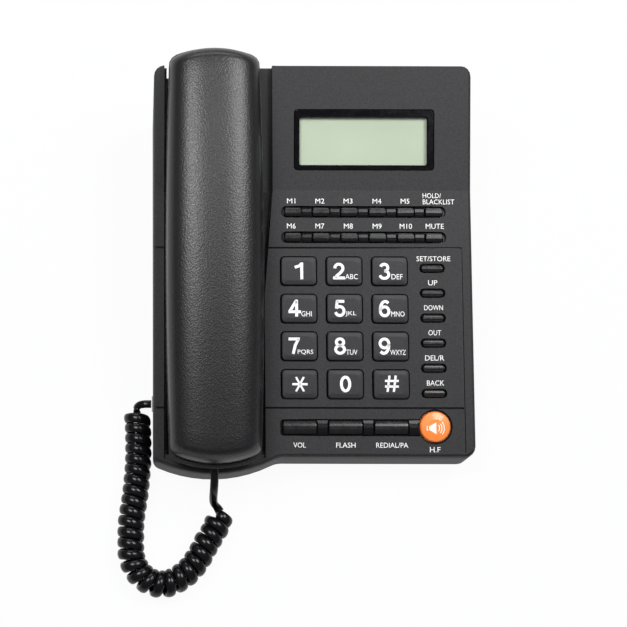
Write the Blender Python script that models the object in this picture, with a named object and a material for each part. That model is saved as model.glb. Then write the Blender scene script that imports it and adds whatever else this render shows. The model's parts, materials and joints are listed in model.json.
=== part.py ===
"""Corded desk telephone with a sloping key face, a bent-up display and a handset in a side cradle.

Metres, +Z up, +Y towards the rear of the telephone, +X to the right of a person who uses it.
The origin is on the desk, under the middle of the telephone with its handset on.
Face coordinates: u to the right, v up the slope of the key face, w out of it, from the front rim.
"""
import bpy
import bmesh
from math import atan2, ceil, cos, hypot, pi, radians, sin, sqrt, tan
from mathutils import Matrix, Vector

# Shape of the housing
BODY_WIDTH = 0.1600
CREASE_REACH = 0.1336
DISPLAY_REACH = 0.0634
RIM_HEIGHT = 0.0220
FACE_SLOPE = radians(12.0)
DISPLAY_BEND = radians(5.5)
PART_DROP = 0.0036
PART_SLOPE = radians(9.0)
PART_GAP = 0.0004
FRONT_CORNER_RADIUS = 0.0055
REAR_CORNER_RADIUS = 0.0050
LOBE_INSET = 0.0298
LOBE_DEPTH = 0.0082
LOBE_RADIUS = 0.0684
LOBE_CORNER_RADIUS = 0.0045
LOBE_BLEND_RADIUS = 0.0120
RIM_FILLET = 0.0015
HOUSING_WALL = 0.0024
CORNER_STEPS = 4
LOBE_STEPS = 10

# Shared clearances
SEAT_GAP = 0.0003
KEY_GAP = 0.0005
CUT_OVERRUN = 0.0100

# Cradle in the housing
CRADLE_INSET = 0.0053
CRADLE_ROOM = 0.0097
CRADLE_FRONT_NARROWING = 0.0043
CRADLE_REAR_NARROWING = 0.0005
CRADLE_WAIST_SHARE = 0.60
CRADLE_DEPTH = 0.0040
CRADLE_WALL = 0.0018
CRADLE_SIDE_WALL = 0.0016
CRADLE_FRONT = 0.0025
SHELF_DEPTH = 0.0016
SHELF_RIM = 0.0024
SHELF_BLOCK_DEPTH = 0.0029
SHELF_BLOCK_INSET = 0.0012
SKIN_OVERLAP = 0.0004
WELL_WIDTH = 0.0468
WELL_FRONT_INSET = 0.0027
WELL_FRONT_WALL = 0.0014
WELL_ROOM = 0.0090
WELL_CORNER_RADIUS = 0.0040

# Handset
HANDSET_SIDE_ROOM = 0.0021
HANDSET_FRONT = -0.0059
HANDSET_OVERHANG = 0.0058
HANDSET_END_WIDTH = 0.0450
HANDSET_SWELL = 0.0036
HANDSET_END_RADIUS = 0.0500
HANDSET_CORNER_RADIUS = 0.0036
SPLIT_W = 0.0143
SPLIT_GAP = 0.0003
CROWN_HEIGHT = 0.0157
CROWN_FALL = 0.0026
CROWN_END_ROUND = 0.0075
UPPER_SHELL_STEP = 0.0004
UPPER_SHELL_LIP = 0.0022
UPPER_SHELL_REAR_LIP = 0.0006
CAP_BOTTOM_W = -0.0085
GRIP_BOTTOM_W = 0.0085
GRIP_ARCH = 0.0012
CAP_END_ROUND = 0.0140
MOUTH_CAP_LENGTH = 0.0499
EAR_CAP_LENGTH = 0.0368
CAP_RAMP = 0.0160
SHELL_WALL = 0.0022
CROWN_POWER = 2.7
CAP_POWER = 4.0
SHELL_COLUMNS = 12
END_ROW_SHARES = (0.0, 0.05, 0.18, 0.40, 0.70, 1.0)
RAMP_ROW_SHARES = (0.0, 0.3, 0.5, 0.7, 1.0)
CROWN_ROW_SHARES = (0.2, 0.4, 0.6, 0.8)
BULGE_REACH = 0.0500
LIFT_TRAVEL = 0.0600

# Parts inside the handset
RECEIVER_RADIUS = 0.0090
RECEIVER_HEIGHT = 0.0075
RECEIVER_INSET = 0.0266
RECEIVER_DOME_SHARES = ((1.0, 0.0), (1.0, 0.55), (0.82, 0.62), (0.50, 1.0))
EAR_HOLE_RADIUS = 0.0011
EAR_HOLE_RING = 0.0055
EAR_HOLE_COUNT = 6
MICROPHONE_RADIUS = 0.0050
MICROPHONE_HEIGHT = 0.0045
MICROPHONE_INSET = 0.0309
MICROPHONE_SHARES = ((1.0, 0.0), (1.0, 0.8), (0.86, 1.0))
MOUTH_SLOT_LENGTH = 0.0090
MOUTH_SLOT_WIDTH = 0.0014
MOUTH_SLOT_PITCH = 0.0034
MOUTH_SLOT_COUNT = 3
WEIGHT_LENGTH = 0.0520
WEIGHT_WIDTH = 0.0240
WEIGHT_THICKNESS = 0.0045
WEIGHT_CHAMFER = 0.0012
SHELF_POST_WIDTH = 0.0100

# Plugs and sockets of the handset cord
PLUG_WIDTH = 0.0076
PLUG_HEIGHT = 0.0064
PLUG_LENGTH = 0.0120
PLUG_CLEARANCE = 0.0003
PLUG_LATCH_WIDTH = 0.0030
PLUG_LATCH_HEIGHT = 0.0010
PLUG_LATCH_LENGTH = 0.0080
PLUG_LATCH_START = 0.0020
SOCKET_WALL = 0.0013
SOCKET_BACK = 0.0016
HANDSET_JACK_W = 0.0062
HANDSET_PLUG_FRONT = -0.0040
HANDSET_JACK_FRONT = 0.0008
BASE_SOCKET_Y = 0.0293
BASE_PLUG_PROUD = 0.0006
BASE_SOCKET_INSET = 0.0004

# Line socket at the rear
LINE_SOCKET_INSET = 0.0400
LINE_SOCKET_WIDTH = 0.0130
LINE_SOCKET_HEIGHT = 0.0120
LINE_SOCKET_DEPTH = 0.0140
LINE_CAVITY_WIDTH = 0.0100
LINE_CAVITY_HEIGHT = 0.0070
LINE_CAVITY_DEPTH = 0.0115
LINE_LATCH_WIDTH = 0.0042
LINE_LATCH_HEIGHT = 0.0022

# Lower housing
FOOT_RADIUS = 0.0060
FOOT_HEIGHT = 0.0025
FOOT_RECESS = 0.0008
FOOT_CHAMFER = 0.0006
FOOT_INSET_X = 0.0130
FOOT_INSET_Y = 0.0150
UNDERSIDE_HEIGHT = 0.0020
UNDERSIDE_CHAMFER = 0.0012
FLOOR_THICKNESS = 0.0025
BOSS_RADIUS = 0.0034
BOSS_BORE = 0.0013
BOSS_COUNTERBORE = 0.0024
BOSS_SEAT = 0.0040
BOSS_INSET = 0.0064
BOSS_JOINT_DROP = 0.0100
BOSS_FRONT_Y = 0.0135
BOSS_REAR_INSET = 0.0131
BOSS_CRADLE_INSET = 0.0100
BOSS_CRADLE_FRONT_SHARE = 0.3924
BOSS_CRADLE_REAR_SHARE = 0.7220
SPEAKER_ACROSS_SHARE = 0.54
SPEAKER_ALONG_SHARE = 0.7220
SPEAKER_RADIUS = 0.0250
SPEAKER_HEIGHT = 0.0150
SPEAKER_SHARES = ((1.0, 0.0), (1.0, 0.12), (0.62, 0.45), (0.62, 1.0))
SPEAKER_RING_WIDTH = 0.0014
SPEAKER_RING_HEIGHT = 0.0025
SPEAKER_SLOT_WIDTH = 0.0020
SPEAKER_SLOT_PITCH = 0.0048
SPEAKER_SLOT_COUNT = 7
KEYHOLE_RADIUS = 0.0042
KEYHOLE_NECK = 0.0022
KEYHOLE_LENGTH = 0.0110
KEYHOLE_FRONT_Y = 0.0560
KEYHOLE_SPACING = 0.0830

# Dial keys: first places and pitches as shares of the panel, sizes as shares of the pitches
DIAL_COLUMN_SHARE = 0.127
DIAL_COLUMN_PITCH_SHARE = 0.2275
DIAL_ROW_SHARE = 0.6924
DIAL_ROW_PITCH_SHARE = 0.14124
DIAL_KEY_WIDTH_SHARE = 0.782
DIAL_KEY_LENGTH_SHARE = 0.7525
DIAL_KEY_RADIUS = 0.0016
DIAL_KEY_RISE = 0.0018
DIAL_KEY_BEVEL = 0.0005
DIAL_KEY_CROWN = 0.0003
DIAL_KEY_CROWN_INSET = 0.0022
DIAL_TRAVEL = 0.0015

# Memory keys above the dial
MEMORY_KEY_SHARE = 0.101
MEMORY_KEY_PITCH_SHARE = 0.1418
MEMORY_KEY_WIDTH_SHARE = 0.62
MEMORY_KEY_LENGTH = 0.0048
MEMORY_KEY_RADIUS = 0.0008
MEMORY_ROW_SHARE = 0.918
MEMORY_ROW_PITCH_SHARE = 0.09693
MEMORY_TROUGH_LENGTH = 0.0060
MEMORY_TROUGH_MARGIN = 0.0017
MEMORY_END_ROUND_SHARE = 0.95
TROUGH_EDGE_DEPTH = 0.0016
TROUGH_LAND_DEPTH = 0.0004
TROUGH_END_SHARE = 0.97
TROUGH_END_LAP = 0.0010
SMALL_TRAVEL = 0.0012

# Side keys right of the dial
SIDE_KEY_SHARE = 0.797
SIDE_ROW_SHARE = 0.7043
SIDE_ROW_PITCH_SHARE = 0.0938
SIDE_KEY_WIDTH_SHARE = 0.119
SIDE_KEY_LENGTH = 0.0038
SIDE_KEY_RADIUS = 0.0015

# Function keys below the dial
FUNCTION_ROW_SHARE = 0.1078
FUNCTION_KEY_WIDTH_SHARE = 0.75
FUNCTION_KEY_LENGTH = 0.0072
FUNCTION_KEY_RADIUS = 0.0009
FUNCTION_TROUGH_LENGTH = 0.0084
FUNCTION_TROUGH_MARGIN = 0.0012
FUNCTION_END_ROUND_SHARE = 0.40

# Rod tops of the small keys, as shares of their length and rise
ROD_RISE = 0.0016
ROD_SHARES = ((0.0, 1.0), (0.55, 0.86), (0.88, 0.55), (1.0, 0.22))
ROD_TOP_DROP = 0.0002

# Hands-free key
HANDS_FREE_ACROSS_SHARE = 0.798
HANDS_FREE_ROW_SHARE = 0.1115
HANDS_FREE_RADIUS = 0.0075
HANDS_FREE_RISE = 0.0016
HANDS_FREE_BEVEL = 0.0006
HANDS_FREE_DOME = 0.0006
HANDS_FREE_SIDES = 28
HANDS_FREE_RECESS_RADIUS = 0.0087
HANDS_FREE_RECESS_DEPTH = 0.0007

# Flanges that keep the keys in
FLANGE_MARGIN = 0.0008
FLANGE_THICKNESS = 0.0008

# Grooves in the key face
GROOVE_WIDTH = 0.0010
GROOVE_DEPTH = 0.0010
UPPER_GROOVE_SHARE = 0.7807
LOWER_GROOVE_SHARE = 0.1804
SEAM_INSET = 0.0052
SEAM_WIDTH = 0.0004
SEAM_DEPTH = 0.0005
SEAM_FRONT = 0.0022

# Display
BEZEL_LEFT_INSET = 0.0109
BEZEL_RIGHT_INSET = 0.0188
BEZEL_FRONT = 0.01035
BEZEL_REAR = 0.0407
BEZEL_RADIUS = 0.0014
BEZEL_PROUD = 0.0003
BEZEL_THICKNESS = 0.0014
BEZEL_CHAMFER = 0.0006
SCREEN_LEFT_BORDER = 0.0026
SCREEN_RIGHT_BORDER = 0.0034
SCREEN_FRONT = 0.0128
SCREEN_REAR = 0.0369
SCREEN_RADIUS = 0.0009
WINDOW_MARGIN = 0.0009
WINDOW_THICKNESS = 0.0010
LCD_MARGIN = 0.0030
LCD_THICKNESS = 0.0032
LCD_CHAMFER = 0.0004

# Board and keypad mat under the keys
MAT_DOME_RADIUS = 0.0022
MAT_DOME_TAPER_SHARE = 0.7
MAT_PRESS_GAP = 0.0004
MAT_DOME_HEIGHT = 0.0020
MAT_THICKNESS = 0.0013
MAT_LEFT_INSET = 0.0043
MAT_RIGHT_INSET = 0.0145
MAT_FRONT = 0.0095
MAT_REAR_INSET = 0.0056
BOARD_THICKNESS = 0.0016
BOARD_LEFT_INSET = 0.0028
BOARD_RIGHT_INSET = 0.0102
BOARD_FRONT = 0.0045
BOARD_REAR_INSET = 0.0120
BOARD_POST_RADIUS = 0.0018
BOARD_POST_LEFT_INSET = 0.0066
BOARD_POST_RIGHT_INSET = 0.0125
BOARD_POST_REAR_INSET = 0.0026
BOARD_POST_FRONT_V = 0.0060
BOARD_POST_SIDE_SHARE = 0.193

# Hook plunger in the ear well
PLUNGER_INSET = 0.0090
PLUNGER_WIDTH = 0.0090
PLUNGER_LENGTH = 0.0050
PLUNGER_RADIUS = 0.0012
PLUNGER_TRAVEL = 0.0040
PLUNGER_STEM = 0.0060
PLUNGER_FLANGE_MARGIN = 0.0010
PLUNGER_CHAMFER = 0.0006

# Curly handset cord: routes on the desk, from under the front rim, chosen by hand
CORD_RADIUS = 0.0012
CORD_CURL_RADIUS = 0.00545
CORD_CURLS = 27
CORD_CURL_POINTS = 9
CORD_RAMP_CURLS = 0.75
CORD_AXIS_HEIGHT = 0.0070
CORD_HANDSET_LEAD = (
    (-0.0501, -0.01250, 0.02530), (-0.0502, -0.01680, 0.02130), (-0.0502, -0.01960, 0.01560),
    (-0.0496, -0.02140, 0.01060), (-0.0478, -0.02320, 0.00790),
)
CORD_AXIS = (
    (-0.0460, -0.0260), (-0.0492, -0.0340), (-0.0531, -0.0400), (-0.0567, -0.0467),
    (-0.0617, -0.0536), (-0.0680, -0.0584), (-0.0742, -0.0607), (-0.0811, -0.0597),
    (-0.0872, -0.0550), (-0.0906, -0.0475), (-0.0910, -0.0385), (-0.0909, -0.0308),
    (-0.0900, -0.0238), (-0.0889, -0.0167), (-0.0880, -0.0075), (-0.0875, -0.0003),
    (-0.0874, 0.0083), (-0.0876, 0.0170), (-0.0880, 0.0225), (-0.0884, 0.0256),
)
CORD_BASE_LEAD = ((-0.0885, 0.0277, 0.0073), (-0.0869, 0.0291, 0.0086), (-0.0848, 0.0293, 0.0099))

# Colours and finishes: red, green, blue, roughness, metallic
FINISHES = {
    "housing": (0.048, 0.048, 0.053, 0.52, 0.0),
    "handset": (0.020, 0.020, 0.022, 0.40, 0.0),
    "dial_key": (0.040, 0.040, 0.050, 0.45, 0.0),
    "small_key": (0.012, 0.012, 0.014, 0.22, 0.0),
    "orange_key": (0.880, 0.210, 0.030, 0.35, 0.0),
    "bezel": (0.006, 0.006, 0.008, 0.12, 0.0),
    "window": (0.800, 0.850, 0.800, 0.05, 0.0),
    "lcd": (0.560, 0.640, 0.490, 0.30, 0.0),
    "board": (0.040, 0.200, 0.080, 0.50, 0.0),
    "mat": (0.030, 0.030, 0.030, 0.80, 0.0),
    "steel": (0.550, 0.560, 0.570, 0.35, 1.0),
    "clear_plug": (0.600, 0.620, 0.640, 0.10, 0.0),
    "socket": (0.030, 0.030, 0.032, 0.45, 0.0),
    "rubber": (0.015, 0.015, 0.015, 0.85, 0.0),
    "cord": (0.010, 0.010, 0.011, 0.30, 0.0),
}
SMOOTH_ANGLE = radians(32.0)

# Values worked out from the sizes above
CREASE_Y = CREASE_REACH * cos(FACE_SLOPE)
BODY_DEPTH = CREASE_Y + DISPLAY_REACH * cos(FACE_SLOPE + DISPLAY_BEND)
BODY_RIGHT = BODY_WIDTH / 2
LOBE_CENTRE_X = LOBE_INSET - BODY_RIGHT
CRADLE_LEFT = CRADLE_INSET - BODY_RIGHT
CRADLE_RIGHT = CRADLE_LEFT + HANDSET_END_WIDTH + CRADLE_ROOM
CRADLE_FRONT_RIGHT = CRADLE_RIGHT - CRADLE_FRONT_NARROWING
PANEL_WIDTH = BODY_RIGHT - CRADLE_RIGHT
HANDSET_CENTRE_U = CRADLE_LEFT + HANDSET_SIDE_ROOM + HANDSET_END_WIDTH / 2
HANDSET_REAR = CREASE_REACH + DISPLAY_REACH + HANDSET_OVERHANG
MOUTH_CAP_REAR = HANDSET_FRONT + MOUTH_CAP_LENGTH
EAR_CAP_FRONT = HANDSET_REAR - EAR_CAP_LENGTH
MOUTH_WELL_REAR = MOUTH_CAP_REAR + WELL_ROOM
EAR_WELL_FRONT = EAR_CAP_FRONT - WELL_ROOM
PLUNGER_V = EAR_WELL_FRONT + PLUNGER_INSET
RECEIVER_V = HANDSET_REAR - RECEIVER_INSET
MICROPHONE_V = HANDSET_FRONT + MICROPHONE_INSET
WEIGHT_V = (MOUTH_CAP_REAR + EAR_CAP_FRONT) / 2
DIAL_COLUMN_U = CRADLE_RIGHT + DIAL_COLUMN_SHARE * PANEL_WIDTH
DIAL_COLUMN_PITCH = DIAL_COLUMN_PITCH_SHARE * PANEL_WIDTH
DIAL_ROW_V = DIAL_ROW_SHARE * CREASE_REACH
DIAL_ROW_PITCH = DIAL_ROW_PITCH_SHARE * CREASE_REACH
DIAL_KEY_WIDTH = DIAL_KEY_WIDTH_SHARE * DIAL_COLUMN_PITCH
DIAL_KEY_LENGTH = DIAL_KEY_LENGTH_SHARE * DIAL_ROW_PITCH
MEMORY_KEY_U = CRADLE_RIGHT + MEMORY_KEY_SHARE * PANEL_WIDTH
MEMORY_KEY_PITCH = MEMORY_KEY_PITCH_SHARE * PANEL_WIDTH
MEMORY_KEY_WIDTH = MEMORY_KEY_WIDTH_SHARE * MEMORY_KEY_PITCH
MEMORY_ROW_V = MEMORY_ROW_SHARE * CREASE_REACH
MEMORY_ROW_PITCH = MEMORY_ROW_PITCH_SHARE * CREASE_REACH
SIDE_KEY_U = CRADLE_RIGHT + SIDE_KEY_SHARE * PANEL_WIDTH
SIDE_KEY_V = SIDE_ROW_SHARE * CREASE_REACH
SIDE_KEY_PITCH = SIDE_ROW_PITCH_SHARE * CREASE_REACH
SIDE_KEY_WIDTH = SIDE_KEY_WIDTH_SHARE * PANEL_WIDTH
FUNCTION_KEY_V = FUNCTION_ROW_SHARE * CREASE_REACH
FUNCTION_KEY_WIDTH = FUNCTION_KEY_WIDTH_SHARE * DIAL_COLUMN_PITCH
HANDS_FREE_U = CRADLE_RIGHT + HANDS_FREE_ACROSS_SHARE * PANEL_WIDTH
HANDS_FREE_V = HANDS_FREE_ROW_SHARE * CREASE_REACH
UPPER_GROOVE_V = UPPER_GROOVE_SHARE * CREASE_REACH
LOWER_GROOVE_V = LOWER_GROOVE_SHARE * CREASE_REACH
SEAM_U = BODY_RIGHT - SEAM_INSET
BEZEL_LEFT = CRADLE_RIGHT + BEZEL_LEFT_INSET
BEZEL_RIGHT = BODY_RIGHT - BEZEL_RIGHT_INSET
SCREEN_LEFT = BEZEL_LEFT + SCREEN_LEFT_BORDER
SCREEN_RIGHT = BEZEL_RIGHT - SCREEN_RIGHT_BORDER
MAT_LEFT = CRADLE_RIGHT + MAT_LEFT_INSET
MAT_RIGHT = BODY_RIGHT - MAT_RIGHT_INSET
MAT_REAR = CREASE_REACH - MAT_REAR_INSET
BOARD_LEFT = CRADLE_RIGHT + BOARD_LEFT_INSET
BOARD_RIGHT = BODY_RIGHT - BOARD_RIGHT_INSET
BOARD_REAR = CREASE_REACH + DISPLAY_REACH - BOARD_REAR_INSET
BOARD_POST_LEFT_U = CRADLE_RIGHT + BOARD_POST_LEFT_INSET
BOARD_POST_RIGHT_U = BODY_RIGHT - BOARD_POST_RIGHT_INSET
BOARD_POST_REAR_V = CREASE_REACH - BOARD_POST_REAR_INSET
BOARD_POST_SIDE_V = BOARD_POST_SIDE_SHARE * CREASE_REACH
LINE_SOCKET_X = BODY_RIGHT - LINE_SOCKET_INSET
BOSS_REAR_Y = BODY_DEPTH - BOSS_REAR_INSET
BOSS_CRADLE_X = BOSS_CRADLE_INSET - BODY_RIGHT
BOSS_CRADLE_FRONT_Y = BOSS_CRADLE_FRONT_SHARE * BODY_DEPTH
BOSS_CRADLE_REAR_Y = BOSS_CRADLE_REAR_SHARE * BODY_DEPTH
SPEAKER_X = CRADLE_RIGHT + SPEAKER_ACROSS_SHARE * PANEL_WIDTH
SPEAKER_Y = SPEAKER_ALONG_SHARE * BODY_DEPTH
KEY_SEAT = HOUSING_WALL + SEAT_GAP
DOME_TOP = KEY_SEAT + FLANGE_THICKNESS + DIAL_TRAVEL + MAT_PRESS_GAP
MAT_TOP = DOME_TOP + MAT_DOME_HEIGHT
MAT_BOTTOM = MAT_TOP + MAT_THICKNESS
BOARD_TOP = MAT_BOTTOM + SEAT_GAP
CAP_DEPTH = SPLIT_W - CAP_BOTTOM_W
GRIP_DEPTH = SPLIT_W - GRIP_BOTTOM_W
WELL_BOTTOM_W = CAP_BOTTOM_W - SEAT_GAP
FLOOR_TOP = UNDERSIDE_HEIGHT + FLOOR_THICKNESS
SOCKET_WIDTH = PLUG_WIDTH + 2 * (PLUG_CLEARANCE + SOCKET_WALL)
SOCKET_HEIGHT = PLUG_HEIGHT + 2 * (PLUG_CLEARANCE + PLUG_LATCH_HEIGHT + SOCKET_WALL)
SOCKET_DEPTH = PLUG_LENGTH + SOCKET_BACK
BASE_SOCKET_Z = FLOOR_TOP + SEAT_GAP + SOCKET_WIDTH / 2


def clear_scene():
    """Remove whatever the open file holds."""
    for obj in list(bpy.data.objects):
        bpy.data.objects.remove(obj, do_unlink=True)


def finish(name):
    """Return the material of a finish, made on first use."""
    found = bpy.data.materials.get(name)
    if found:
        return found
    red, green, blue, roughness, metallic = FINISHES[name]
    made = bpy.data.materials.new(name)
    made.use_nodes = True
    shader = made.node_tree.nodes["Principled BSDF"]
    shader.inputs["Base Color"].default_value = (red, green, blue, 1.0)
    shader.inputs["Roughness"].default_value = roughness
    shader.inputs["Metallic"].default_value = metallic
    return made


def empty(name, parent=None, location=(0, 0, 0), tilt=0.0):
    """Make a frame for pieces, tilted about X."""
    made = bpy.data.objects.new(name, None)
    bpy.context.scene.collection.objects.link(made)
    made.parent = parent
    made.location = location
    made.rotation_euler = (tilt, 0, 0)
    return made


def link(name, mesh, parent=None, location=(0, 0, 0), look=None):
    """Put a mesh in the scene as one named object."""
    made = bpy.data.objects.new(name, mesh)
    bpy.context.scene.collection.objects.link(made)
    made.parent = parent
    made.location = location
    if look and not mesh.materials:
        mesh.materials.append(finish(look))
    return made


def mesh_from(bm, name, smooth=True):
    """Turn a bmesh into a mesh with outward faces."""
    bmesh.ops.recalc_face_normals(bm, faces=bm.faces)
    mesh = bpy.data.meshes.new(name)
    bm.to_mesh(mesh)
    bm.free()
    if smooth:
        mesh.shade_smooth()
        mesh.set_sharp_from_angle(angle=SMOOTH_ANGLE)
    return mesh


def cutter(name, bm, parent=None):
    """Make a hidden object that shapes another by a Boolean."""
    made = link(name, mesh_from(bm, name, smooth=False), parent)
    made.hide_render = True
    made.display_type = "WIRE"
    return made


def boolean(target, operand, operation):
    """Join or cut the target with the operand."""
    modifier = target.modifiers.new(operand.name, "BOOLEAN")
    modifier.operation = operation
    modifier.solver = "EXACT"
    modifier.object = operand


def arc(centre, radius, start, end, steps):
    """Return points along an arc, both ends included."""
    points = []
    for i in range(steps + 1):
        angle = start + (end - start) * i / steps
        points.append((centre[0] + radius * cos(angle), centre[1] + radius * sin(angle)))
    return points


def rounded_rect(width, length, radius, steps=2, centre=(0, 0)):
    """Return the outline of a rectangle with round corners."""
    half_x = width / 2 - radius
    half_y = length / 2 - radius
    points = []
    for i, (side_x, side_y) in enumerate(((1, 1), (-1, 1), (-1, -1), (1, -1))):
        middle = (centre[0] + side_x * half_x, centre[1] + side_y * half_y)
        points += arc(middle, radius, i * pi / 2, (i + 1) * pi / 2, steps)
    return points


def circle(radius, sides, centre=(0, 0)):
    """Return the outline of a circle."""
    return arc(centre, radius, 0.0, 2 * pi, sides)[:-1]


def loft(bm, rings, closed=False):
    """Skin rings of points of equal count, with end caps unless the rings close on themselves."""
    loops = [[bm.verts.new(point) for point in ring] for ring in rings]
    count = len(loops[0])
    pairs = list(zip(loops, loops[1:]))
    if closed:
        pairs.append((loops[-1], loops[0]))
    for low, high in pairs:
        for i in range(count):
            j = (i + 1) % count
            bm.faces.new((low[i], low[j], high[j], high[i]))
    if not closed:
        bm.faces.new(loops[0])
        bm.faces.new(loops[-1])
    return loops


def at_height(outline, height):
    """Lift a flat outline to one height."""
    return [(x, y, height) for x, y in outline]


def add_prism(bm, outline, low, high):
    """Add a closed prism along Z."""
    loft(bm, [at_height(outline, low), at_height(outline, high)])


def add_box(bm, low, high):
    """Add a closed box from its lowest to its highest corner."""
    outline = ((low[0], low[1]), (high[0], low[1]), (high[0], high[1]), (low[0], high[1]))
    add_prism(bm, outline, low[2], high[2])


def add_turned(bm, shares, radius, height, sides, base=0.0):
    """Add a turned solid from shares of its radius and height."""
    rings = []
    for radius_share, height_share in shares:
        rings.append(at_height(circle(radius * radius_share, sides), base + height * height_share))
    loft(bm, rings)


def top_height(y):
    """Height of the housing's top surface over the desk, sharp rim and all."""
    if y <= CREASE_Y:
        return RIM_HEIGHT + y * tan(FACE_SLOPE)
    return RIM_HEIGHT + CREASE_Y * tan(FACE_SLOPE) + (y - CREASE_Y) * tan(FACE_SLOPE + DISPLAY_BEND)


def part_height(y):
    """Height of the plane where the two housings meet."""
    return RIM_HEIGHT - PART_DROP + y * tan(PART_SLOPE)


def lobe_centre():
    """Centre of the round front under the handset's mouth end."""
    return (LOBE_CENTRE_X, LOBE_RADIUS - LOBE_DEPTH)


def blend_centre():
    """Centre of the hollow curve between the lobe and the straight front."""
    lobe_x, lobe_y = lobe_centre()
    reach = LOBE_RADIUS + LOBE_BLEND_RADIUS
    return (lobe_x + sqrt(reach ** 2 - (lobe_y + LOBE_BLEND_RADIUS) ** 2), -LOBE_BLEND_RADIUS)


def body_outline(inset):
    """Plan of the housing, drawn in by an inset, anticlockwise from the front's middle."""
    half = BODY_WIDTH / 2
    lobe_x, lobe_y = lobe_centre()
    blend_x, blend_y = blend_centre()
    front_x = half - FRONT_CORNER_RADIUS
    rear_x = half - REAR_CORNER_RADIUS
    rear_y = BODY_DEPTH - REAR_CORNER_RADIUS
    left_x = LOBE_CORNER_RADIUS - half
    reach = LOBE_RADIUS - LOBE_CORNER_RADIUS
    left_y = lobe_y - sqrt(reach ** 2 - (left_x - lobe_x) ** 2)
    left_angle = atan2(left_y - lobe_y, left_x - lobe_x) + 2 * pi
    right_angle = atan2(blend_y - lobe_y, blend_x - lobe_x) + 2 * pi
    front_radius = FRONT_CORNER_RADIUS - inset
    rear_radius = REAR_CORNER_RADIUS - inset
    points = arc((front_x, FRONT_CORNER_RADIUS), front_radius, -pi / 2, 0.0, CORNER_STEPS)
    points.append((half - inset, CREASE_Y))
    points += arc((rear_x, rear_y), rear_radius, 0.0, pi / 2, CORNER_STEPS)
    points += arc((-rear_x, rear_y), rear_radius, pi / 2, pi, CORNER_STEPS)
    points.append((inset - half, CREASE_Y))
    points += arc((left_x, left_y), LOBE_CORNER_RADIUS - inset, pi, left_angle, CORNER_STEPS)
    points += arc((lobe_x, lobe_y), LOBE_RADIUS - inset, left_angle, right_angle, LOBE_STEPS)[1:]
    points += arc((blend_x, blend_y), LOBE_BLEND_RADIUS + inset, right_angle - pi, pi / 2, CORNER_STEPS)[1:]
    return points


def crease_indices():
    """Places in the outline of the two points on the crease."""
    right = CORNER_STEPS + 1
    left = right + 2 * (CORNER_STEPS + 1) + 1
    return right, left


def cap_split(bm, loop):
    """Close a ring with two flat faces that meet at the crease."""
    right, left = crease_indices()
    bm.faces.new(loop[left:] + loop[:right + 1])
    bm.faces.new(loop[right:left + 1])


def housing_loft(bm, rings, first_flat=False, last_flat=False):
    """Skin housing rings, and close both ends flat or folded at the crease."""
    loops = [[bm.verts.new(point) for point in ring] for ring in rings]
    count = len(loops[0])
    for low, high in zip(loops, loops[1:]):
        for i in range(count):
            j = (i + 1) % count
            bm.faces.new((low[i], low[j], high[j], high[i]))
    for loop, flat in ((loops[0], first_flat), (loops[-1], last_flat)):
        if flat:
            bm.faces.new(loop)
        else:
            cap_split(bm, loop)


def ring(inset, height):
    """One ring of the housing, at a height that depends on y."""
    return [(x, y, height(y)) for x, y in body_outline(inset)]


def face_point(x, y):
    """Face coordinates of a plan point on the key face."""
    return (x, y / cos(FACE_SLOPE))


def lobe_edge(inset, left, right):
    """Front edge along the lobe between two u places, left to right, in face coordinates."""
    lobe_x, lobe_y = lobe_centre()
    radius = LOBE_RADIUS - inset
    points = []
    for i in range(LOBE_STEPS + 1):
        x = left + (right - left) * i / LOBE_STEPS
        points.append(face_point(x, lobe_y - sqrt(radius ** 2 - (x - lobe_x) ** 2)))
    return points


def upper_housing(face, display):
    """Lid with its skirt, cradle, wells, key holes and display seat."""
    bm = bmesh.new()
    half_share = 1 - sqrt(0.5)
    housing_loft(bm, [
        ring(HOUSING_WALL, lambda y: top_height(y) - HOUSING_WALL),
        ring(HOUSING_WALL, part_height),
        ring(0.0, part_height),
        ring(0.0, lambda y: top_height(y) - RIM_FILLET),
        ring(RIM_FILLET * half_share, lambda y: top_height(y) - RIM_FILLET * half_share),
        ring(RIM_FILLET, top_height),
    ])
    lid = link("upper_housing", mesh_from(bm, "upper_housing"), look="housing")
    boolean(lid, cradle_tub(face), "UNION")
    boolean(lid, lid_posts(face), "UNION")
    boolean(lid, lid_bosses(), "UNION")
    boolean(lid, boss_pilots(), "DIFFERENCE")
    boolean(lid, cradle_cut(face), "DIFFERENCE")
    boolean(lid, well_cut("mouth_well_cut", face, mouth_well(0.0, 0.0), WELL_BOTTOM_W), "DIFFERENCE")
    boolean(lid, well_cut("ear_well_cut", face, ear_well(0.0, CUT_OVERRUN), WELL_BOTTOM_W), "DIFFERENCE")
    boolean(lid, trough_cut(face), "DIFFERENCE")
    boolean(lid, hands_free_recess(face), "DIFFERENCE")
    boolean(lid, key_holes(face), "DIFFERENCE")
    boolean(lid, groove_cut(face), "DIFFERENCE")
    boolean(lid, seam_cut(face), "DIFFERENCE")
    boolean(lid, display_seat(display), "DIFFERENCE")
    boolean(lid, display_opening(display), "DIFFERENCE")
    return lid


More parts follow.
